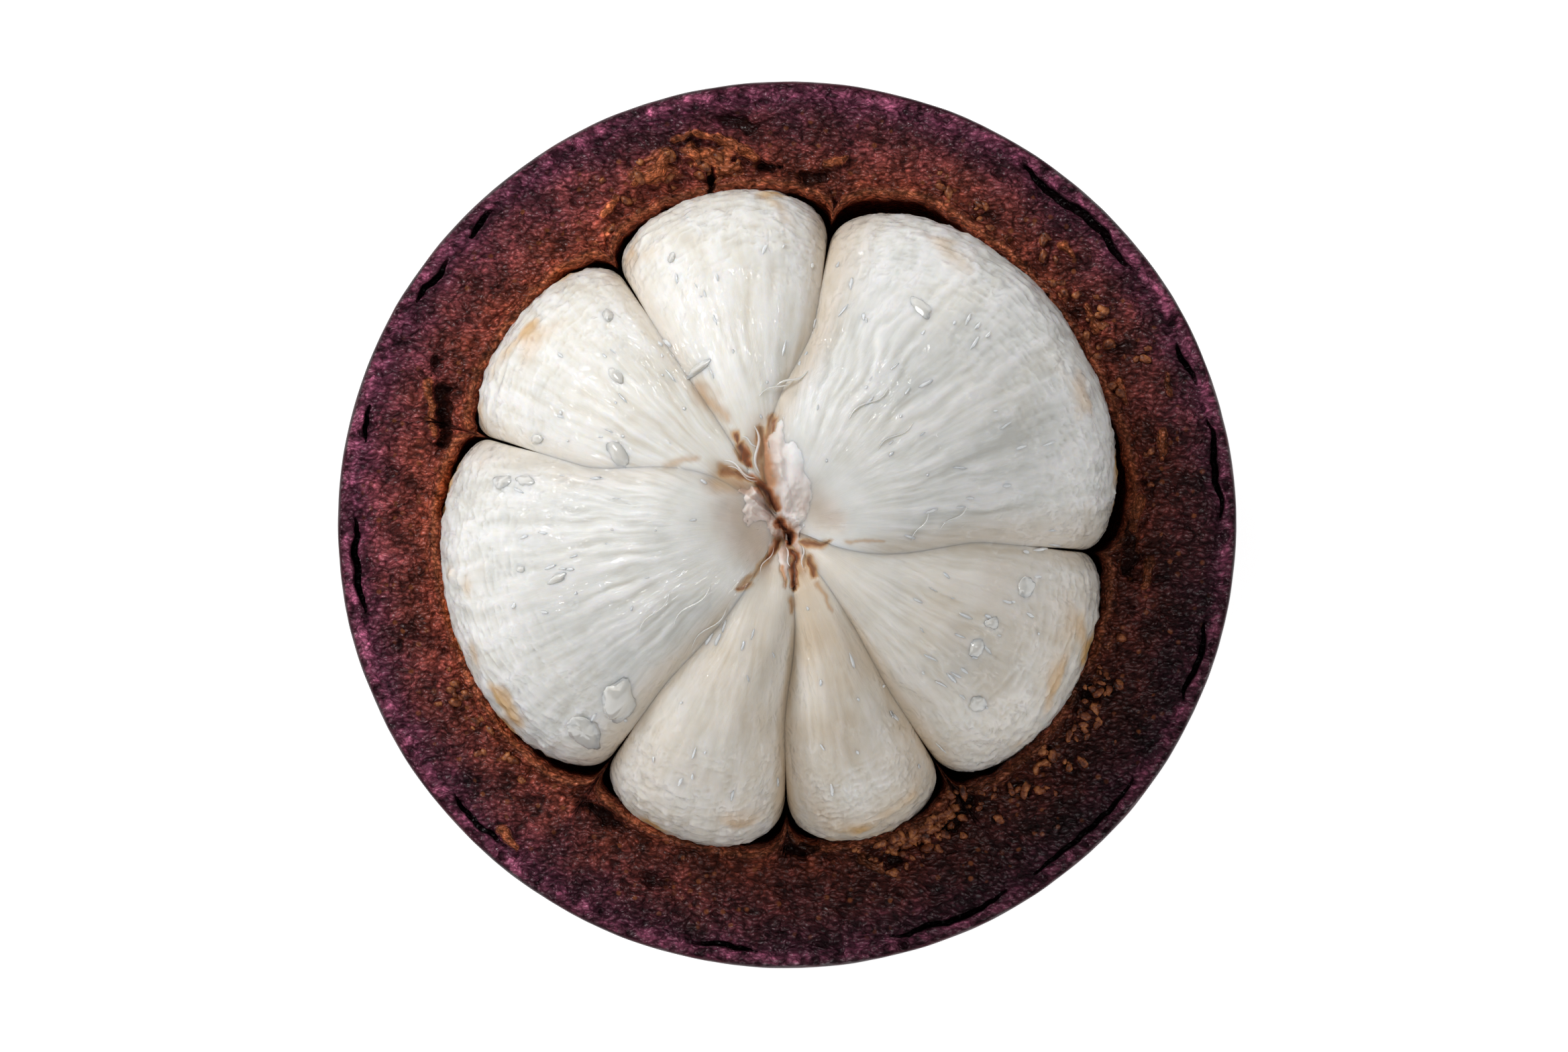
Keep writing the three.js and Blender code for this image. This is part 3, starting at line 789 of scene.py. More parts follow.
def cavity_radius(degrees):
    """Radius of the cavity round the cluster's axis, with the ridges of the lining."""
    start = CLEFTS[0][0]
    angle = start + (degrees - start) % 360
    radius = np.zeros_like(angle)
    for number, (reach, *_) in enumerate(SEGMENTS.values()):
        first, last = CLEFTS[number], CLEFTS[number + 1]
        here = (angle >= first[0]) & (angle <= last[0])
        across = (2 * (angle - first[0]) / (last[0] - first[0]) - 1).clip(-1, 1)
        wall = reach + LINING_GAP
        ridge = at_cleft(CLEFT_REACHES, number, across) + RIDGE_CLEARANCE
        radius = np.where(here, wall - (wall - ridge) * round_off(across, RIDGE_SHARPNESS), radius)
    return radius + bulges(degrees, WIDER_GAPS)


def crack_at(degrees):
    """Depth and half width of the crack under the skin, both fading out at its ends."""
    depth = np.zeros_like(degrees)
    half_width = np.full_like(degrees, 0.1)
    for start, stop, deepest, width in SKIN_CRACKS:
        across = 2 * (degrees - start) / (stop - start) - 1
        open_share = np.sqrt((1 - across**2).clip(0))
        depth = np.maximum(depth, deepest * open_share)
        half_width = np.maximum(half_width, 0.5 * width * open_share)
    return depth, half_width


# %% [markdown]
# The cut surface is rough everywhere, and differently from place to place. The flesh is made of long moist
# grains that run in waves. Near the skin it crumbles. In some places the knife tore it, which left thin
# curled flakes, ledges and pits. These are listed one by one, in millimetres from the middle of the fruit.

# %% Relief of the cut
GRAIN_TURN, GRAIN_LENGTH, GRAIN_WIDTH, GRAIN_HEIGHT = 50, 0.95, 0.55, 0.22
CLOD_SIZE, CLOD_HEIGHT = 1.5, 0.12
HOLLOW_SIZE, HOLLOW_HEIGHT = 6.0, 0.25
CRUMBLE_SIZE, CRUMBLE_HEIGHT = 0.8, 0.2
# Ledges and pits: x, y, length, width, turn in degrees, and how far they stand up or sink.
TORN_PLACES = [
    (-8.8, 24.4, 3.2, 2.0, 20, 0.35),
    (-5.0, 25.0, 4.4, 1.8, -12, 0.45),
    (-3.2, 27.6, 4.0, 1.2, -8, -0.5),
    (-1.6, 24.7, 3.2, 1.1, -14, -0.8),
    (1.6, 23.8, 3.0, 1.2, -8, -0.7),
    (-23.6, 8.1, 1.3, 5.2, 8, -0.9),
    (-22.6, 3.0, 0.8, 2.6, 0, -0.5),
    (-13.0, -19.8, 3.4, 1.2, -38, -0.8),
    (23.6, -1.6, 1.4, 4.4, 5, -0.7),
    (20.6, -11.0, 1.2, 3.4, 28, -0.5),
    (11.6, -19.4, 4.0, 2.2, 40, -0.7),
    (7.6, -22.6, 3.4, 1.6, 20, -0.5),
    (1.0, -22.4, 2.2, 0.9, 0, -0.7),
    (17.5, 15.6, 1.6, 0.9, -45, -0.5),
    (-9.0, -24.6, 2.4, 1.0, -15, -0.4),
]
# Curled flakes and the edges of ledges: from x, y to x, y, width and how far they stand up or sink.
FLAKES = [
    (-8.2, 25.6, -8.8, 24.2, 0.35, 0.6),
    (-8.8, 24.2, -10.4, 23.4, 0.35, 0.5),
    (-7.8, 26.4, -6.4, 27.0, 0.3, 0.4),
    (-6.4, 27.0, -4.8, 26.6, 0.3, 0.5),
    (-4.8, 26.6, -3.1, 25.8, 0.35, 0.5),
    (-3.1, 25.8, -2.1, 25.2, 0.4, 0.5),
    (-6.6, 26.0, -6.2, 25.2, 0.3, 0.4),
    (-5.2, 24.4, -5.3, 23.0, 0.3, -0.8),
    (-11.8, 22.4, -12.8, 21.2, 0.3, 0.4),
    (2.6, 24.8, 4.2, 25.1, 0.3, 0.4),
    (-24.6, 9.8, -24.2, 6.2, 0.35, 0.4),
    (25.8, 6.2, 25.9, 4.6, 0.35, 0.5),
    (24.2, 1.6, 23.8, -0.4, 0.4, 0.6),
    (22.8, 9.8, 23.2, 8.4, 0.3, 0.4),
    (19.0, 19.3, 19.6, 18.5, 0.3, 0.4),
    (25.0, -2.4, 24.6, -4.2, 0.35, 0.5),
    (5.2, -23.0, 6.6, -23.8, 0.45, 0.5),
    (-19.6, -21.0, -18.6, -22.2, 0.4, 0.4),
    (21.2, 13.4, 20.6, 15.0, 0.3, 0.4),
    (26.4, 9.0, 26.2, 10.4, 0.25, 0.4),
]


def torn_height(x, y):
    """How far the torn places stand up or sink, with ragged outlines."""
    x, y = warped(x, y)
    places = np.column_stack([x, y, np.zeros_like(x)])
    ragged = 0.45 * clouds(places, 1.3, 3, 51)
    height = np.zeros_like(x)
    for *patch, rise in TORN_PLACES:
        height += rise * smoothstep(1.2 - from_patch(x, y, *patch) + ragged, 0, 0.8)
    for *stroke, rise in FLAKES:
        height += 1.4 * rise * np.sqrt(stroke_share(x, y, stroke, 1.3))
    return height


def long_grains(places, length, width, seed):
    """Grains that are longer than wide and run in waves."""
    along, aside = turned(places[:, 0], places[:, 1], -GRAIN_TURN)
    wave = 0.6 * clouds(places, 2.4, 2, seed + 40)
    stretched = [(along + wave) / length, (aside + wave) / width, places[:, 2] / width]
    return grains(np.column_stack(stretched), 1, seed)


def near_skin(inset):
    """1 at the skin and 0 deeper in, by the distance from the outline."""
    return 1 - smoothstep(inset, 0.9, 1.7)


def cut_relief(x, y, inset, to_lining):
    """Height of the cut over its mean level, how proud each place is of its surroundings, and how torn."""
    places = np.column_stack([x, y, np.zeros_like(x)])
    grain = long_grains(places, GRAIN_LENGTH, GRAIN_WIDTH, 1)
    crumbs = clouds(places, CRUMBLE_SIZE, 3, 8)
    clods = clouds(places, CLOD_SIZE, 2, 5)
    at_skin = near_skin(inset)
    at_lining = 1 - smoothstep(to_lining, 0.3, 1.6)
    torn = torn_height(x, y)
    height = GRAIN_HEIGHT * (grain - 0.5) * (1 - 0.5 * at_skin)
    height += CLOD_HEIGHT * clods
    height += HOLLOW_HEIGHT * clouds(places, HOLLOW_SIZE, 1, 6)
    height += CRUMBLE_HEIGHT * crumbs * (0.45 + 0.55 * np.maximum(at_skin, 0.6 * at_lining))
    return height + torn, (grain - 0.5) * (1 - 0.6 * at_skin) + 0.4 * clods + 0.8 * crumbs * at_skin, torn


# %% The rind as a grid of places
RIND_AROUND = 960
OUTSIDE_ROWS, SKIN_ROWS, FLESH_ROWS, WALL_ROWS = 18, 6, 48, 14
LIP_WIDTH, LIP_RISE, LIP_ROUNDING = 0.4, 0.42, 0.25
RIM_STEPS = [(0, -0.45), (0.05, -0.2), (0.14, -0.07)]  # inset and height over the cut
CRACK_STEPS = [(-1, 0), (-0.8, 0.9), (-0.3, 1), (0.3, 1), (0.8, 0.9), (1, 0)]  # aside and depth, as shares
WALL_STEPS = [(0.12, 0.12), (0.26, 0.32), (0.42, 0.7)]  # inset from the lip and depth below it
FIRST_INSET = 0.25  # of the cut's first row
FAR = 9  # out of the lining's reach
SKIN_LAYER = 0.12  # how far through the rind the cracks lie, where 0 is the skin and 1 the lining
RIBBING = 0.25  # how far the outside swells over each segment


def rays(radius):
    """Steps of these lengths from one middle, one in each direction, seen from above."""
    return ray[:, :2] * radius[:, None]


def add_row(plan, height, zone):
    """Adds a ring of places to the grid, with how far through the rind they are."""
    rows.append(np.column_stack([plan, height + 0 * theta]))
    zones.append(zone + 0 * theta)


theta = 2 * math.pi * np.arange(RIND_AROUND) / RIND_AROUND
degrees = np.degrees(theta)
ray = np.column_stack([np.cos(theta), np.sin(theta), np.zeros_like(theta)])
outline = fruit_radius(theta) - 0.06 + 0.03 * clouds(ray * 30, 6.0, 4, 2)
crack_depth, crack_half_width = crack_at(degrees)
crack_inset = CRACK_INSET + 0.2 * clouds(ray * 30, 2.0, 3, 3)
lining_radius = cavity_radius(degrees) + 0.11 * clouds(ray * 22, 1.6, 3, 4)
axis = np.array([AXIS_X, AXIS_Y])
lining_edge = axis + rays(lining_radius)

rows, zones = [], []
for i in range(OUTSIDE_ROWS):
    tilt = math.pi / 2 * i / OUTSIDE_ROWS
    out = math.sin(tilt) ** (2 / SIDE_SQUARENESS)
    up = math.cos(tilt) ** (2 / SIDE_SQUARENESS)
    swell = RIBBING * math.sin(2 * tilt) ** 2 * np.cos(len(SEGMENTS) * theta)
    height = CUT_HEIGHT - (CUT_HEIGHT - RIND_BOTTOM) * up
    add_row(rays(out * (outline + swell)), height, -1 + 0.9 * i / OUTSIDE_ROWS)
for inset, height in RIM_STEPS:
    add_row(rays(outline - inset), CUT_HEIGHT + height, 0)
rim_rows = len(rows)

to_crack = crack_inset - crack_half_width - FIRST_INSET
insets = [FIRST_INSET + to_crack * i / SKIN_ROWS for i in range(SKIN_ROWS)]
insets += [crack_inset + aside * crack_half_width for aside, _ in CRACK_STEPS]
sinks = [0 * theta] * SKIN_ROWS + [sink * crack_depth for _, sink in CRACK_STEPS]
for inset, sink in zip(insets, sinks):
    place = rays(outline - inset)
    relief, _, _ = cut_relief(*place.T, inset, FAR)
    add_row(place, CUT_HEIGHT + relief * smoothstep(inset, 0.0, 0.7) - sink, inset / 12)

flesh_start = rays(outline - crack_inset - crack_half_width)
for i in range(1, FLESH_ROWS + 1):
    share = i / FLESH_ROWS
    share += 0.15 * share * (1 - share)  # closer rows towards the lining
    place = flesh_start + (lining_edge - flesh_start) * share
    to_lining = np.hypot(*(lining_edge - place).T)
    relief, _, _ = cut_relief(*place.T, outline - np.hypot(*place.T), to_lining)
    lip = LIP_RISE * smoothstep(LIP_WIDTH * 2 - to_lining, 0, LIP_WIDTH)
    rounding = LIP_ROUNDING * (1 - smoothstep(to_lining, 0, LIP_ROUNDING))
    add_row(place, CUT_HEIGHT + relief + lip - rounding, SKIN_LAYER + (1 - SKIN_LAYER) * share)

cavity_sink = CLUSTER_SINK + LINING_GAP
wall_top = rows[-1][:, 2]
for i, (inset, depth) in enumerate(WALL_STEPS, 1):
    add_row(axis + rays(lining_radius - inset), wall_top - depth, 1 + 0.03 * i)
wall_radius = lining_radius - WALL_STEPS[-1][0]
for i in range(2, WALL_ROWS):
    depth = cavity_sink * math.sin(math.pi / 2 * (i / WALL_ROWS) ** 1.5)
    share = (1 - (depth / cavity_sink) ** DOME_UP) ** (1 / DOME_OUT)
    height = np.minimum(CLUSTER_HEIGHT - depth, wall_top - 1.1 - 0.1 * i)
    add_row(axis + rays(wall_radius * share), height, 1 + i / WALL_ROWS)
add_row(axis + 0 * ray[:, :2], CLUSTER_HEIGHT - cavity_sink, 2)
rind_grid = np.stack(rows)
print("rind grid:", rind_grid.shape[0], "rows of", rind_grid.shape[1])

# %% Model the rind
# Painted shade by direction: how light the cut is painted in each direction, darkest on the lower right,
# which lies away from the key lamp.
DIRECTION_SHADE = [
    (0, 0.3), (30, 0.62), (60, 0.75), (90, 0.68), (120, 0.95), (150, 0.92), (180, 1.0), (210, 0.78),
    (240, 0.52), (270, 0.36), (300, 0.22), (330, 0.2),
]

peel, order = form_from_grid("peel", rind_grid)
places = rind_grid.reshape(-1, 3)[order]
zone = np.stack(zones).ravel()[order]
ring = order // RIND_AROUND
dents = 0.10 * clouds(places, 5.0, 2, 21) - 0.05 * (1 - grains(places, 2.2, 3)) ** 4
wall_relief = 0.08 * clouds(places, 1.2, 2, 23) * (zone < 1.98)
below_rim = smoothstep(CUT_HEIGHT - places[:, 2], 0.3, 2.0)
push_out(peel, np.where(zone < 0, dents * below_rim, np.where(zone > 1, wall_relief, 0)))

azimuth = np.arctan2(places[:, 1], places[:, 0])
inset = fruit_radius(azimuth) - np.hypot(places[:, 0], places[:, 1])
_, proud, torn = cut_relief(places[:, 0], places[:, 1], inset, FAR)
on_cut = (ring >= rim_rows) & (zone <= 1)
at_skin = near_skin(inset)
at_lip = smoothstep(zone, 0.9, 0.97)
# pale carries the painted shade by direction: darker towards the lower right, away from the key lamp.
pale = np.interp(np.degrees(azimuth) % 360, *zip(*DIRECTION_SHADE), period=360)
at_edge = np.maximum(at_skin, at_lip)
pale = (1.1 * pale) ** (1 - 0.4 * at_edge) * (1.32 - 0.27 * at_edge)
patches = (1 + 0.4 * clouds(places, 2.6, 4, 25) * (1 - at_lip)).clip(0.35)
# The shade mark is painted shade: the direction shade, lighter on the proud places of the relief and darker
# on the low ones, times patches of the flesh's own uneven tone.
shade = pale * patches * (1 + 0.85 * np.where(on_cut, proud, 0)).clip(0.25, 2)
mark(peel, "shade", shade)
wander = smoothstep(zone, 0.1, 0.35) * on_cut * (zone < 0.9)  # of the layers' borders in the flesh
mark(peel, "layer", zone + 0.1 * clouds(places, 2.6, 4, 26) * wander)
mark(peel, "torn", np.where(on_cut, torn, 0))
mark(peel, "skin", (ring < rim_rows).astype(float))
in_crack = np.zeros(rind_grid.shape[:2])
in_crack[rim_rows : rim_rows + len(sinks)] = sinks
mark(peel, "crack", in_crack.ravel()[order].clip(0, 1))
hand_over(peel, "rind", "rind")

# %% [markdown]
# ### Rind
#
# The colours follow the rind's own layers, so the material reads how far each place is through it: -1 at
# the bottom of the outside, 0 at the skin, 1 at the lining and 2 at the bottom of the cavity. The cut is
# moist: each grain has its own tint and catches a soft highlight. The chinks between the grains, the pits
# and the cracks are painted nearly black, as painted shade, and the shade mark paints the rest of the cut
# darker on the lower right, away from the key lamp. Here and there a grain has stayed orange. The skin is
# smooth and faintly waxy, with corky flecks.

# %% Material of the rind
GRANULE, FINE_GRAIN = 0.25, 0.25  # sizes in millimetres
ORANGE_GRAIN, FLECK = 0.55, 4.5
BENDING_SIZE, BENDING = 1.0, 0.6  # of the waves that bend the rows of granules, and how far they go
GRANULE_BUMP, FINE_BUMP = 0.2, 0.12


def rind_material():
    material, add = new_material("cut_mangosteen_rind")
    layer, shade, torn, skin, crack = read_marks(add, "layer", "shade", "torn", "skin", "crack")
    where = add("TexCoord").outputs["Object"]
    lengthwise = add("Mapping", where, Rotation=(0, 0, math.radians(-GRAIN_TURN)), Scale=(0.55, 1, 1))
    wave = add("TexNoise", where, Scale=1 / (BENDING_SIZE * MM), Detail=2)
    bent = add(
        "VectorMath", wave.outputs["Color"], [BENDING * MM] * 3, lengthwise,
        operation="MULTIPLY_ADD",
    )
    granules = add("TexVoronoi", bent, Scale=1 / (GRANULE * MM))
    fine = add("TexNoise", bent, Scale=1 / (FINE_GRAIN * MM), Detail=4, Roughness=0.7)
    orange = add("TexVoronoi", where, Scale=1 / (ORANGE_GRAIN * MM))
    through = add("MapRange", layer, From_Max=2.0)
    colour = add(
        "ValToRGB", through,
        stops=[
            (0.0, "#3f1522"), (0.03, "#87455e"), (0.055, "#56283a"), (0.12, "#562833"), (0.26, "#6b3231"),
            (0.45, "#7c3a2c"), (0.476, "#86432f"), (0.487, "#c4704e"), (0.51, "#b86142"),
            (0.56, "#7a2c18"), (1.0, "#7a2c18"),
        ],
    )
    tint = add("SeparateColor", granules.outputs["Color"])
    bright = add("MapRange", tint.outputs["Red"], To_Min=0.75, To_Max=1.5)
    # Painted shade: the chinks between the granules are painted darker.
    chinks = add("MapRange", granules, 0.15, 0.75, 1.3, 0.4)
    ruffled = add("MapRange", fine, 0.36, 0.66, 0.5, 1.5)
    light = shade
    for factor in (bright, chinks, ruffled):
        light = add("Math", light, factor, operation="MULTIPLY")
    grained = add("VectorMath", colour, operation="SCALE", Scale=light)
    orange_tint = add("SeparateColor", orange.outputs["Color"])
    chosen = add("MapRange", orange_tint.outputs["Red"], 0.84, 0.9)
    middle = add("MapRange", orange, 0.22, 0.42, 0.75, 0.0)
    orange_share = add("Math", chosen, middle, operation="MULTIPLY")
    inward = add("MapRange", layer, 0.1, 0.35)
    orange_share = add("Math", orange_share, inward, operation="MULTIPLY")
    speckled = add("Mix", orange_share, grained, linear("#82492c"), data_type="RGBA")
    raised = add("MapRange", torn, 0.08, 0.4, To_Max=0.8)
    flake_light = add("VectorMath", linear("#b0623c")[:3], operation="SCALE", Scale=light)
    flakes = add("Mix", raised, speckled, flake_light, data_type="RGBA")
    # Painted shade: the sunk pits are painted nearly black.
    pit_shade = add("MapRange", torn, -0.1, -0.5, 0.0, 0.85)
    pits = add("Mix", pit_shade, flakes, linear("#1c0a07"), data_type="RGBA")
    # Painted shade: the cracks under the skin are painted nearly black.
    cut = add("Mix", crack, pits, linear("#14060a"), data_type="RGBA")
    flecks = add("TexNoise", where, Scale=1 / (FLECK * MM), Detail=8, Roughness=0.72)
    peel_colour = add(
        "ValToRGB", flecks,
        stops=[(0.3, "#1d0a13"), (0.5, "#34131f"), (0.62, "#4a1f2a"), (0.72, "#644438")],
    )
    whole = add("Mix", skin, cut, peel_colour, data_type="RGBA")
    fresh = add("Math", 1.0, skin, operation="SUBTRACT")
    roughened = add("MapRange", skin, To_Min=0.5, To_Max=0.06)
    cut_bump = add("Bump", Height=granules, Strength=fresh, Distance=GRANULE_BUMP * MM, invert=True)
    fine_bump = add("Bump", Height=fine, Strength=roughened, Distance=FINE_BUMP * MM, Normal=cut_bump)
    grain_gloss = add("MapRange", tint.outputs["Green"], To_Min=0.2, To_Max=0.55)
    roughness = add("Mix", skin, grain_gloss, 0.42)
    wet_grains = add("MapRange", granules, 0.2, 0.5, 1.0, 0.0)
    wetness = add("Mix", skin, wet_grains, 0.35)
    shader = add(
        "BsdfPrincipled", Base_Color=whole, Roughness=roughness, Normal=fine_bump,
        Specular_IOR_Level=0.08, Coat_Weight=wetness, Coat_Roughness=0.16, Coat_Normal=fine_bump,
    )
    add("OutputMaterial", shader)
    return material


cut_rind = rind_material()
peel.data.materials.append(cut_rind)
print("rind material with", len(cut_rind.node_tree.nodes), "nodes")

# %% [markdown]
# ## The core
#
# The core is modelled as a stalk that goes down between the segments, and a torn cap that lies on their
# tips. The cap has to follow the flesh, so its height is measured there: a ray goes straight down from
# above each place, and where it meets the flesh is the level. Where the lists hold no ridge, the cap dives
# just under the flesh and doesn't show.

# %% Surface that the pith lies on
flesh_points, flesh_faces = [], []
for aril in arils:
    start = len(flesh_points)
    flesh_points.extend(v.co for v in aril.data.vertices)
    flesh_faces.extend([start + corner for corner in face.vertices] for face in aril.data.polygons)
flesh_tree = BVHTree.FromPolygons(flesh_points, flesh_faces)
SEAM_SIDESTEP = 0.08  # a second ray, in case the first one falls through a seam


def flesh_height(x, y):
    """Height of the segments' upper surface at a place."""
    heights = [CLUSTER_HEIGHT]
    for sidestep in (-SEAM_SIDESTEP, SEAM_SIDESTEP):
        source = Vector(((x + sidestep) * MM, (y + sidestep) * MM, 0.1))
        spot = flesh_tree.ray_cast(source, Vector((0, 0, -1)))[0]
        if spot is not None:
            heights.append(spot.z / MM)
    return max(heights)


def flesh_heights(x, y):
    """The same for many places."""
    return np.array([flesh_height(*place) for place in zip(x, y)])


print("pith and juice can lie on", len(flesh_faces), "faces of flesh")

# %% Model the core
CORE_AROUND = 260
CORE_RADIUS = 0.4
CORE_SINK = 12
CAP_MIDDLE = 0.9  # out to here the cap has a level of its own
CAP_LOBES = [(92, 36, 6.8), (165, 32, 2.6), (278, 30, 3.2), (30, 40, 0.9)]  # direction, spread, reach
CAP_STEPS = 58

core_theta = 2 * math.pi * np.arange(CORE_AROUND) / CORE_AROUND
core_ray = np.column_stack([np.cos(core_theta), np.sin(core_theta)])
cap_reach = CAP_MIDDLE + 0.2 + bulges(np.degrees(core_theta), CAP_LOBES)


def flesh_ring(radius):
    """Level of the flesh round the axis, at one distance for each direction."""
    x, y = (axis + core_ray * radius[:, None]).T
    return x, y, flesh_heights(x, y)


middle_levels = flesh_ring(np.full_like(core_theta, CAP_MIDDLE))[2]
middle_level = middle_levels.mean()


def cap_row(share):
    """A ring of the cap's upper side: its places, and how far the pith stands up there."""
    radius = cap_reach * share
    x, y, level = flesh_ring(radius)
    inward = (radius / CAP_MIDDLE).clip(0, 1)
    level = np.where(inward < 1, middle_level + (middle_levels - middle_level) * inward, level)
    rise = 0.8 * ridge_at(x, y) * (1 - smoothstep(share, 0.7, 1))
    own = 1 - smoothstep(radius, TIP_RADIUS, CAP_MIDDLE)  # the cap's middle shows everywhere
    places = np.column_stack([x, y, np.zeros_like(x)])
    ragged = clouds(places, 0.6, 3, 61)
    lift = rise * (1 + 0.3 * ragged) + 0.08 * own - 0.1 * (1 - own) * (1 - smoothstep(rise, 0, 0.1))
    lift -= own * recess_at(x, y) + 0.12 * own * (1 - smoothstep(rise, 0, 0.3)) * (1 + ragged)
    return np.column_stack([x, y, level + lift]), rise


core_rows, rises = [], []
for radius, rise in ((0, 0), (0.8, 0.3), (1, 2), (1, 6), (1, 10), (1, 14), (1, 17)):
    stalk = axis + core_ray * CORE_RADIUS * radius
    core_rows.append(np.column_stack([stalk, np.full_like(core_theta, CLUSTER_HEIGHT - CORE_SINK + rise)]))
    rises.append(np.zeros_like(core_theta))
for share in (0.55, 0.7, 0.85, 0.97):
    row, _ = cap_row(share)
    core_rows.append(row - [0, 0, 0.7 - 0.3 * share])
    rises.append(np.zeros_like(core_theta))
for share in np.linspace(1, 0, CAP_STEPS):
    row, rise = cap_row(share)
    core_rows.append(row)
    rises.append(rise)
core_grid = np.stack(core_rows)
torn_core, order = form_from_grid("torn_core", core_grid)
places = core_grid.reshape(-1, 3)[order]
rise = np.stack(rises).ravel()[order]
fuzz = 0.014 * clouds(places, 0.35, 3, 71) + 0.03 * clouds(places, 1.1, 1, 72)
push_out(torn_core, fuzz * smoothstep(places[:, 2], CLUSTER_HEIGHT + 5, CLUSTER_HEIGHT + 7))
from_axis = np.hypot(places[:, 0] - AXIS_X, places[:, 1] - AXIS_Y)
mark(torn_core, "pale", np.maximum(smoothstep(rise, 0.0, 0.3), smoothstep(from_axis, CAP_MIDDLE, 1.6)))
mark(torn_core, "rust", rust_and_shade_at(places[:, 0], places[:, 1]))
hand_over(torn_core, "core", "core")

# %% [markdown]
# ### Pith
#
# Pith is dry and spongy: it scatters light, has no gloss, and goes from rust brown in the holes to pale
# pink on the torn ridge. Where it is damp, it turns a greyish violet.

# %% Material of the core
def pith_material():
    material, add = new_material("torn_pith")
    pale, rust = read_marks(add, "pale", "rust")
    where = add("TexCoord").outputs["Object"]
    fuzz = add("TexNoise", where, Scale=1 / (0.4 * MM), Detail=5, Roughness=0.72)
    damp = add("TexNoise", where, Scale=1 / (1.6 * MM), Detail=2)
    mixed = add("Math", fuzz, 0.9, pale, operation="MULTIPLY_ADD")
    pink = add(
        "ValToRGB", mixed,
        stops=[(0.2, "#cfa893"), (0.45, "#e6dad2"), (0.8, "#f1e8e4"), (1.0, "#faf6f4")],
    )
    violet = add("MapRange", damp, 0.5, 0.75, To_Max=0.25)
    damped = add("Mix", violet, pink, linear("#c9b6b8"), data_type="RGBA")
    rusty = add(
        "ValToRGB", rust,
        stops=[(0.0, "#ffffff"), (0.2, "#e6dcd5"), (0.45, "#d4a683"), (0.7, "#a4643c"), (1.0, "#4c261b")],
    )
    colour = add("Mix", 1.0, damped, rusty, data_type="RGBA", blend_type="MULTIPLY")
    bump = add("Bump", Strength=0.6, Distance=0.06 * MM, Height=fuzz)
    shader = add(
        "BsdfPrincipled", Base_Color=colour, Normal=bump, Roughness=0.6, Subsurface_Weight=0.5,
        Subsurface_Radius=(1.0, 0.6, 0.45), Subsurface_Scale=0.4 * MM,
    )
    add("OutputMaterial", shader)
    return material


torn_pith = pith_material()
torn_core.data.materials.append(torn_pith)

# %% [markdown]
# ### Threads
#
# A few pale threads of pith still bridge the recesses, and strings of juicy membrane lie across the clefts.
# Each is a thin tube from one place on the flesh to another, arched a little. A UV sphere drawn out long
# makes one, with both its ends closed, and the threads of a kind are joined in one piece.

# %% Helpers for threads
THREAD_STEPS, THREAD_SIDES = 16, 8


def thread(start_x, start_y, end_x, end_y, thickness, arch):
    """A tube between two places on the flesh, thinner at its ends."""
    share = (1 - np.cos(math.pi * np.arange(THREAD_STEPS + 1) / THREAD_STEPS)) / 2
    x = start_x + (end_x - start_x) * share
    y = start_y + (end_y - start_y) * share
    bow = 0.12 * np.sin(2 * math.pi * share) * math.hypot(end_x - start_x, end_y - start_y)
    along = math.atan2(end_y - start_y, end_x - start_x)
    x -= 0.6 * bow * math.sin(along)
    y += 0.6 * bow * math.cos(along)
    below = flesh_heights(x, y)
    z = below[0] + (below[-1] - below[0]) * share + arch * np.sin(math.pi * share)
    z = np.maximum(z, below + 0.3 * thickness)
    turn = 2 * math.pi * np.arange(THREAD_SIDES) / THREAD_SIDES
    girth = thickness / 2 * np.sqrt(np.sin(math.pi * share))
    girth[[0, -1]] = 0
    aside = np.outer(girth, np.cos(turn))
    up = np.outer(girth, np.sin(turn))
    grid = np.dstack(
        [x[:, None] + aside * math.sin(along), y[:, None] - aside * math.cos(along), z[:, None] + up]
    )
    return form_from_grid("thread", grid)[0]


def join_as(name, pieces):
    """Joins pieces in one."""
    select_only(*pieces)
    bpy.ops.object.join()
    pieces[0].name = pieces[0].data.name = name
    return pieces[0]


# %% Model the threads
# Each thread: from x, y to x, y, thickness and arch, in millimetres.
PITH_THREADS = [
    (-4.2, 4.3, -2.1, 3.1, 0.16, 0.15),
    (-4.0, 3.9, -2.0, 2.9, 0.1, 0.12),
    (-2.2, 6.6, -1.8, 3.4, 0.2, 0.15),
    (-3.0, 5.9, -2.0, 5.2, 0.12, 0.1),
    (-0.2, -0.5, 0.1, -1.2, 0.16, 0.15),
    (-0.1, -1.5, 0.2, -2.8, 0.12, 0.1),
    (1.0, -1.4, 1.1, -2.9, 0.12, 0.1),
    (-0.9, -1.5, -1.8, -3.2, 0.08, 0.06),
]
MEMBRANE_THREADS = [
    (-5.1, -4.0, -7.6, -6.8, 0.13, 0.25),
    (-7.8, -4.4, -9.9, -7.4, 0.1, 0.2),
    (-4.0, -5.4, -6.4, -8.4, 0.1, 0.15),
    (-0.9, 9.0, 1.4, 10.3, 0.16, 0.25),
    (-1.9, 8.5, 0.6, 9.9, 0.12, 0.2),
    (4.1, 7.0, 6.8, 9.2, 0.12, 0.05),
    (6.0, 4.9, 8.4, 6.9, 0.1, 0.05),
    (10.2, -0.4, 12.0, 1.2, 0.12, 0.05),
    (8.3, -1.2, 9.4, 0.8, 0.1, 0.05),
]
pith_threads = join_as("pith_threads", [thread(*entry) for entry in PITH_THREADS])
thread_places = read_vectors(pith_threads, "co") / MM
mark(pith_threads, "pale", np.full(len(thread_places), 0.7))
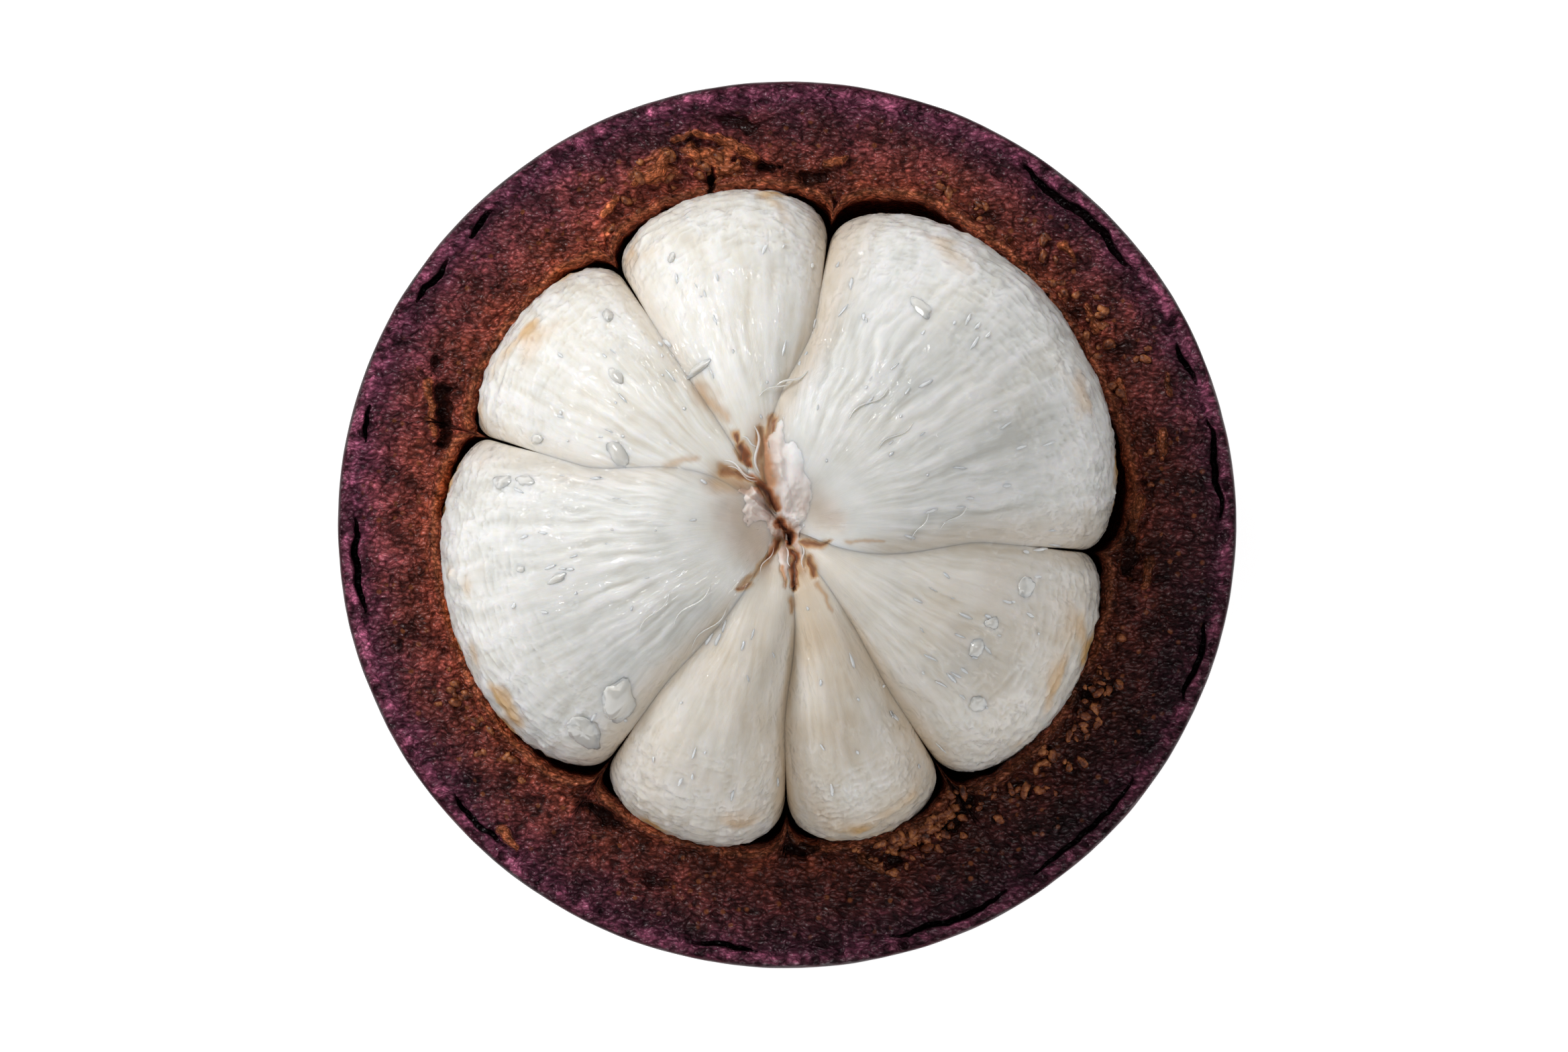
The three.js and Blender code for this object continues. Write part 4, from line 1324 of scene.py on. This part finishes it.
mark(pith_threads, "rust", 0.35 * rust_and_shade_at(thread_places[:, 0], thread_places[:, 1]))
pith_threads.data.materials.append(torn_pith)
hand_over(pith_threads, "core")
membrane_threads = join_as("membrane_threads", [thread(*entry) for entry in MEMBRANE_THREADS])
hand_over(membrane_threads, "segment_flesh")

# %% [markdown]
# ### Juice
#
# Beads of juice stand on the flesh, and two lumps of milky jelly lie on the left segment. A bead is a
# flattened ball whose underside sits in the flesh. One is modelled, and each of the others is a copy with a
# mesh of its own, laid down on the flesh at its place and pulled out of round.

# %% Model the beads of juice
BEAD_SIDES, BEAD_RINGS = 24, 12
SMALL_BEADS = 150
# Each large bead: x, y, length, width, turn in degrees and height.
LARGE_BEADS = [
    (-11.4, -11.9, 3.2, 2.2, 75, 0.6),
    (-13.8, -14.1, 2.6, 1.8, -55, 0.45),
    (12.8, -12.1, 1.2, 1.1, 0, 0.35),
    (12.7, -8.3, 1.3, 1.1, 40, 0.3),
    (16.1, -4.2, 1.4, 1.1, 60, 0.3),
    (13.7, -6.6, 1.0, 0.8, 10, 0.25),
    (-16.9, 5.8, 0.9, 0.7, 20, 0.3),
    (-11.3, 4.7, 2.2, 1.0, -55, 0.35),
    (-19.3, 2.9, 1.3, 0.8, 15, 0.3),
    (-17.6, 3.0, 1.2, 0.8, -10, 0.25),
    (-12.1, 14.2, 0.9, 0.6, -60, 0.3),
    (-11.5, 10.0, 1.6, 0.8, -50, 0.3),
    (-5.9, 10.5, 1.8, 0.5, 35, 0.3),
    (-7.8, 18.1, 0.8, 0.5, 60, 0.25),
    (9.0, 14.6, 1.8, 0.9, -50, 0.25),
    (-15.4, -3.6, 1.4, 0.6, 25, 0.25),
    (-17.9, -3.0, 0.6, 0.4, 10, 0.2),
]
bpy.ops.object.select_all(action="DESELECT")
bpy.ops.mesh.primitive_uv_sphere_add(segments=BEAD_SIDES, ring_count=BEAD_RINGS, radius=1)
bead = bpy.context.object
bpy.ops.object.shade_smooth()
bead_form = read_vectors(bead, "co")


def lay_copy(form, x, y, z):
    """A copy of a form, with a mesh of its own and its points at these places."""
    copy = form.copy()
    copy.data = form.data.copy()
    bpy.context.collection.objects.link(copy)
    write_points(copy, np.column_stack([x, y, z]))
    return copy


def lay_bead(number, x, y, length, width, turn, height):
    """A copy of the bead, laid on the flesh."""
    uneven = 1 + 0.22 * clouds(bead_form + number, 1.1, 2, 91)
    along, aside, up = bead_form[:, 0] * length / 2, bead_form[:, 1] * width / 2, bead_form[:, 2]
    shift_x, shift_y = turned(along * uneven, aside * uneven, turn)
    rise = np.where(up > 0, up**2 * height, up * 0.15)
    level = flesh_heights(x + shift_x, y + shift_y)
    copy = lay_copy(bead, x + shift_x, y + shift_y, level + rise - 0.04)
    # Small beads get a whiter colour: a painted highlight.
    mark(copy, "froth", np.full(len(bead_form), float(width < 0.4)))
    return copy


draw = random.Random(7)
bead_places = list(LARGE_BEADS)
while len(bead_places) < len(LARGE_BEADS) + SMALL_BEADS:
    far = 5 + 14 * math.sqrt(draw.random())
    direction = draw.uniform(0, 360)
    x, y = turned(far, 0, direction)
    length = draw.uniform(0.35, 1.1) ** 1.5
    width = min(length, draw.uniform(0.13, 0.24))
    turn = direction + draw.gauss(0, 15)
    bead_places.append((AXIS_X + x, AXIS_Y + y, length, width, turn, 0.45 * width))
beads = [lay_bead(number, *entry) for number, entry in enumerate(bead_places)]
bpy.data.objects.remove(bead)
juice_beads = join_as("juice_beads", beads)
hand_over(juice_beads, "segment_flesh")
print(len(bead_places), "beads of juice,", len(juice_beads.data.polygons), "faces")

# %% Material of the juice
# Mangosteen juice is milky: a large bead has the flesh's own colour, and only its shine sets it off. The
# small ones are painted whiter: a painted highlight that stands in for their glints.
milky_juice, add = new_material("milky_fruit_juice")
[froth] = read_marks(add, "froth")
juice_colour = add("Mix", froth, linear("#dad8d2"), linear("#f6f6f4"), data_type="RGBA")
juice_shader = add(
    "BsdfPrincipled", Base_Color=juice_colour, Roughness=0.12, IOR=1.4, Subsurface_Weight=0.8,
    Subsurface_Radius=(1.0, 0.9, 0.8), Subsurface_Scale=0.4 * MM, Coat_Weight=1.0, Coat_Roughness=0.05,
)
add("OutputMaterial", juice_shader)
juice_beads.data.materials.append(milky_juice)
membrane_threads.data.materials.append(milky_juice)

# %% [markdown]
# ## Crumbs
#
# The knife and the tearing left crumbs of lining on the cut, most of them at the lower right and at the
# top. Again one is modelled, as a rough ball, and the others are copies, each turned and dented its own way
# and sunk into the cut. A seeded draw scatters them round the places where they lie.

# %% Model the crumbs
# Each drift of crumbs: direction in degrees, angular spread, distance outside the lining, how many.
CRUMB_DRIFTS = [
    (295, 11, 0.9, 110), (325, 18, 1.4, 50), (105, 12, 1.6, 20), (40, 30, 1.6, 40), (212, 10, 1.2, 20),
]
bpy.ops.object.select_all(action="DESELECT")
bpy.ops.mesh.primitive_ico_sphere_add(subdivisions=2, radius=1)
crumb = bpy.context.object
bpy.ops.object.shade_smooth()
crumb_form = read_vectors(crumb, "co")
peel_points = [vertex.co for vertex in peel.data.vertices]
peel_tree = BVHTree.FromPolygons(peel_points, [face.vertices for face in peel.data.polygons])


def lay_crumb(number, direction, outside, size, turn):
    """A copy of the crumb, sunk into the cut at a distance outside the lining."""
    x, y = turned(cavity_radius(np.array([direction]))[0] + outside, 0, direction)
    x, y = AXIS_X + x, AXIS_Y + y
    level = peel_tree.ray_cast(Vector((x * MM, y * MM, 0.1)), Vector((0, 0, -1)))[0].z / MM
    dented = crumb_form * (1 + 0.35 * clouds(crumb_form + 3 * number, 1.0, 2, 95))[:, None]
    shift_x, shift_y = turned(dented[:, 0] * size * 0.8, dented[:, 1] * size * 0.5, turn)
    return lay_copy(crumb, x + shift_x, y + shift_y, level + 0.2 * size + dented[:, 2] * size * 0.4)


crumbs = []
for direction, spread, outside, count in CRUMB_DRIFTS:
    for _ in range(count):
        way = (direction + draw.gauss(0, spread / 2)) % 360
        gap = abs(draw.gauss(0, outside)) + 0.4
        crumbs.append(lay_crumb(len(crumbs), way, gap, draw.uniform(0.2, 0.62), draw.uniform(0, 180)))
bpy.data.objects.remove(crumb)
lining_crumbs = join_as("lining_crumbs", crumbs)
hand_over(lining_crumbs, "rind")
print(len(crumbs), "crumbs,", len(lining_crumbs.data.polygons), "faces")

# %% Material of the crumbs
# Moist crumbs of the firm lining: the same orange-brown, with each crumb's faces catching the light.
crumb_flesh, add = new_material("moist_rind_crumbs")
crumb_where = add("TexCoord").outputs["Object"]
crumb_noise = add("TexNoise", crumb_where, Scale=1 / (0.6 * MM), Detail=4, Roughness=0.7)
crumb_colour = add(
    "ValToRGB", crumb_noise, stops=[(0.35, "#35140c"), (0.5, "#7d4226"), (0.65, "#b87445")],
)
crumb_bump = add("Bump", Strength=0.6, Distance=0.1 * MM, Height=crumb_noise)
crumb_shader = add("BsdfPrincipled", Base_Color=crumb_colour, Normal=crumb_bump, Roughness=0.4, IOR=1.4)
add("OutputMaterial", crumb_shader)
lining_crumbs.data.materials.append(crumb_flesh)

# %% [markdown]
# ## The rosette
#
# On the blossom end sits the dried stigma, a flat woody flower with one blunt lobe for each segment inside.
# The half stands on it.

# %% Model the rosette
ROSETTE_AROUND = 252
ROSETTE_RADIUS = 7
LOBE_NOTCH = 0.3
SEAT_GAP = 0.1
rosette_turn = np.arange(ROSETTE_AROUND) / ROSETTE_AROUND
lobe = np.abs(np.cos(math.pi * len(SEGMENTS) * rosette_turn)) ** 0.55
rosette_outline = ROSETTE_RADIUS * (1 - LOBE_NOTCH * (1 - lobe))


def rind_underside(radius):
    """Height of the rind's underside at a distance from the fruit's axis."""
    share = (2 * radius / FRUIT_WIDTH) ** SIDE_SQUARENESS
    return CUT_HEIGHT - (CUT_HEIGHT - RIND_BOTTOM) * (1 - share) ** (1 / SIDE_SQUARENESS)


rosette_rows = []
steps = [(s, 0) for s in (0, 0.15, 0.34, 0.5, 0.65, 0.8, 0.92)]
steps += [(0.97, 0.06), (1, 0.3), (1, 0.6), (0.98, 0.85), (0.93, 1)]
steps += [(s, 1) for s in (0.8, 0.6, 0.4, 0.2, 0)]
for share, rise in steps:
    radius = share * rosette_outline
    groove = 0.5 * (1 - lobe) ** 1.5 * (share > 0.34) * (rise == 0)
    height = np.maximum((rind_underside(radius) - SEAT_GAP) * rise, groove)
    angle = 2 * math.pi * rosette_turn
    rosette_rows.append(np.column_stack([radius * np.cos(angle), radius * np.sin(angle), height]))
rosette, order = form_from_grid("dried_stigma", np.stack(rosette_rows))
places = np.stack(rosette_rows).reshape(-1, 3)[order]
push_out(rosette, 0.12 * clouds(places, 0.9, 3, 81) * smoothstep(places[:, 2], 0.05, 0.6))
hand_over(rosette, "rosette", "stigma_rosette")

# %% Material of the rosette
cork, add = new_material("dry_cork_bark")
cork_where = add("TexCoord").outputs["Object"]
cork_noise = add("TexNoise", cork_where, Scale=1 / (0.8 * MM), Detail=5, Roughness=0.65)
cork_colour = add("ValToRGB", cork_noise, stops=[(0.3, "#1d130f"), (0.5, "#3d2b22"), (0.7, "#6b5242")])
cork_bump = add("Bump", Strength=0.8, Distance=0.2 * MM, Height=cork_noise)
cork_shader = add("BsdfPrincipled", Base_Color=cork_colour, Normal=cork_bump, Roughness=0.88)
add("OutputMaterial", cork_shader)
rosette.data.materials.append(cork)
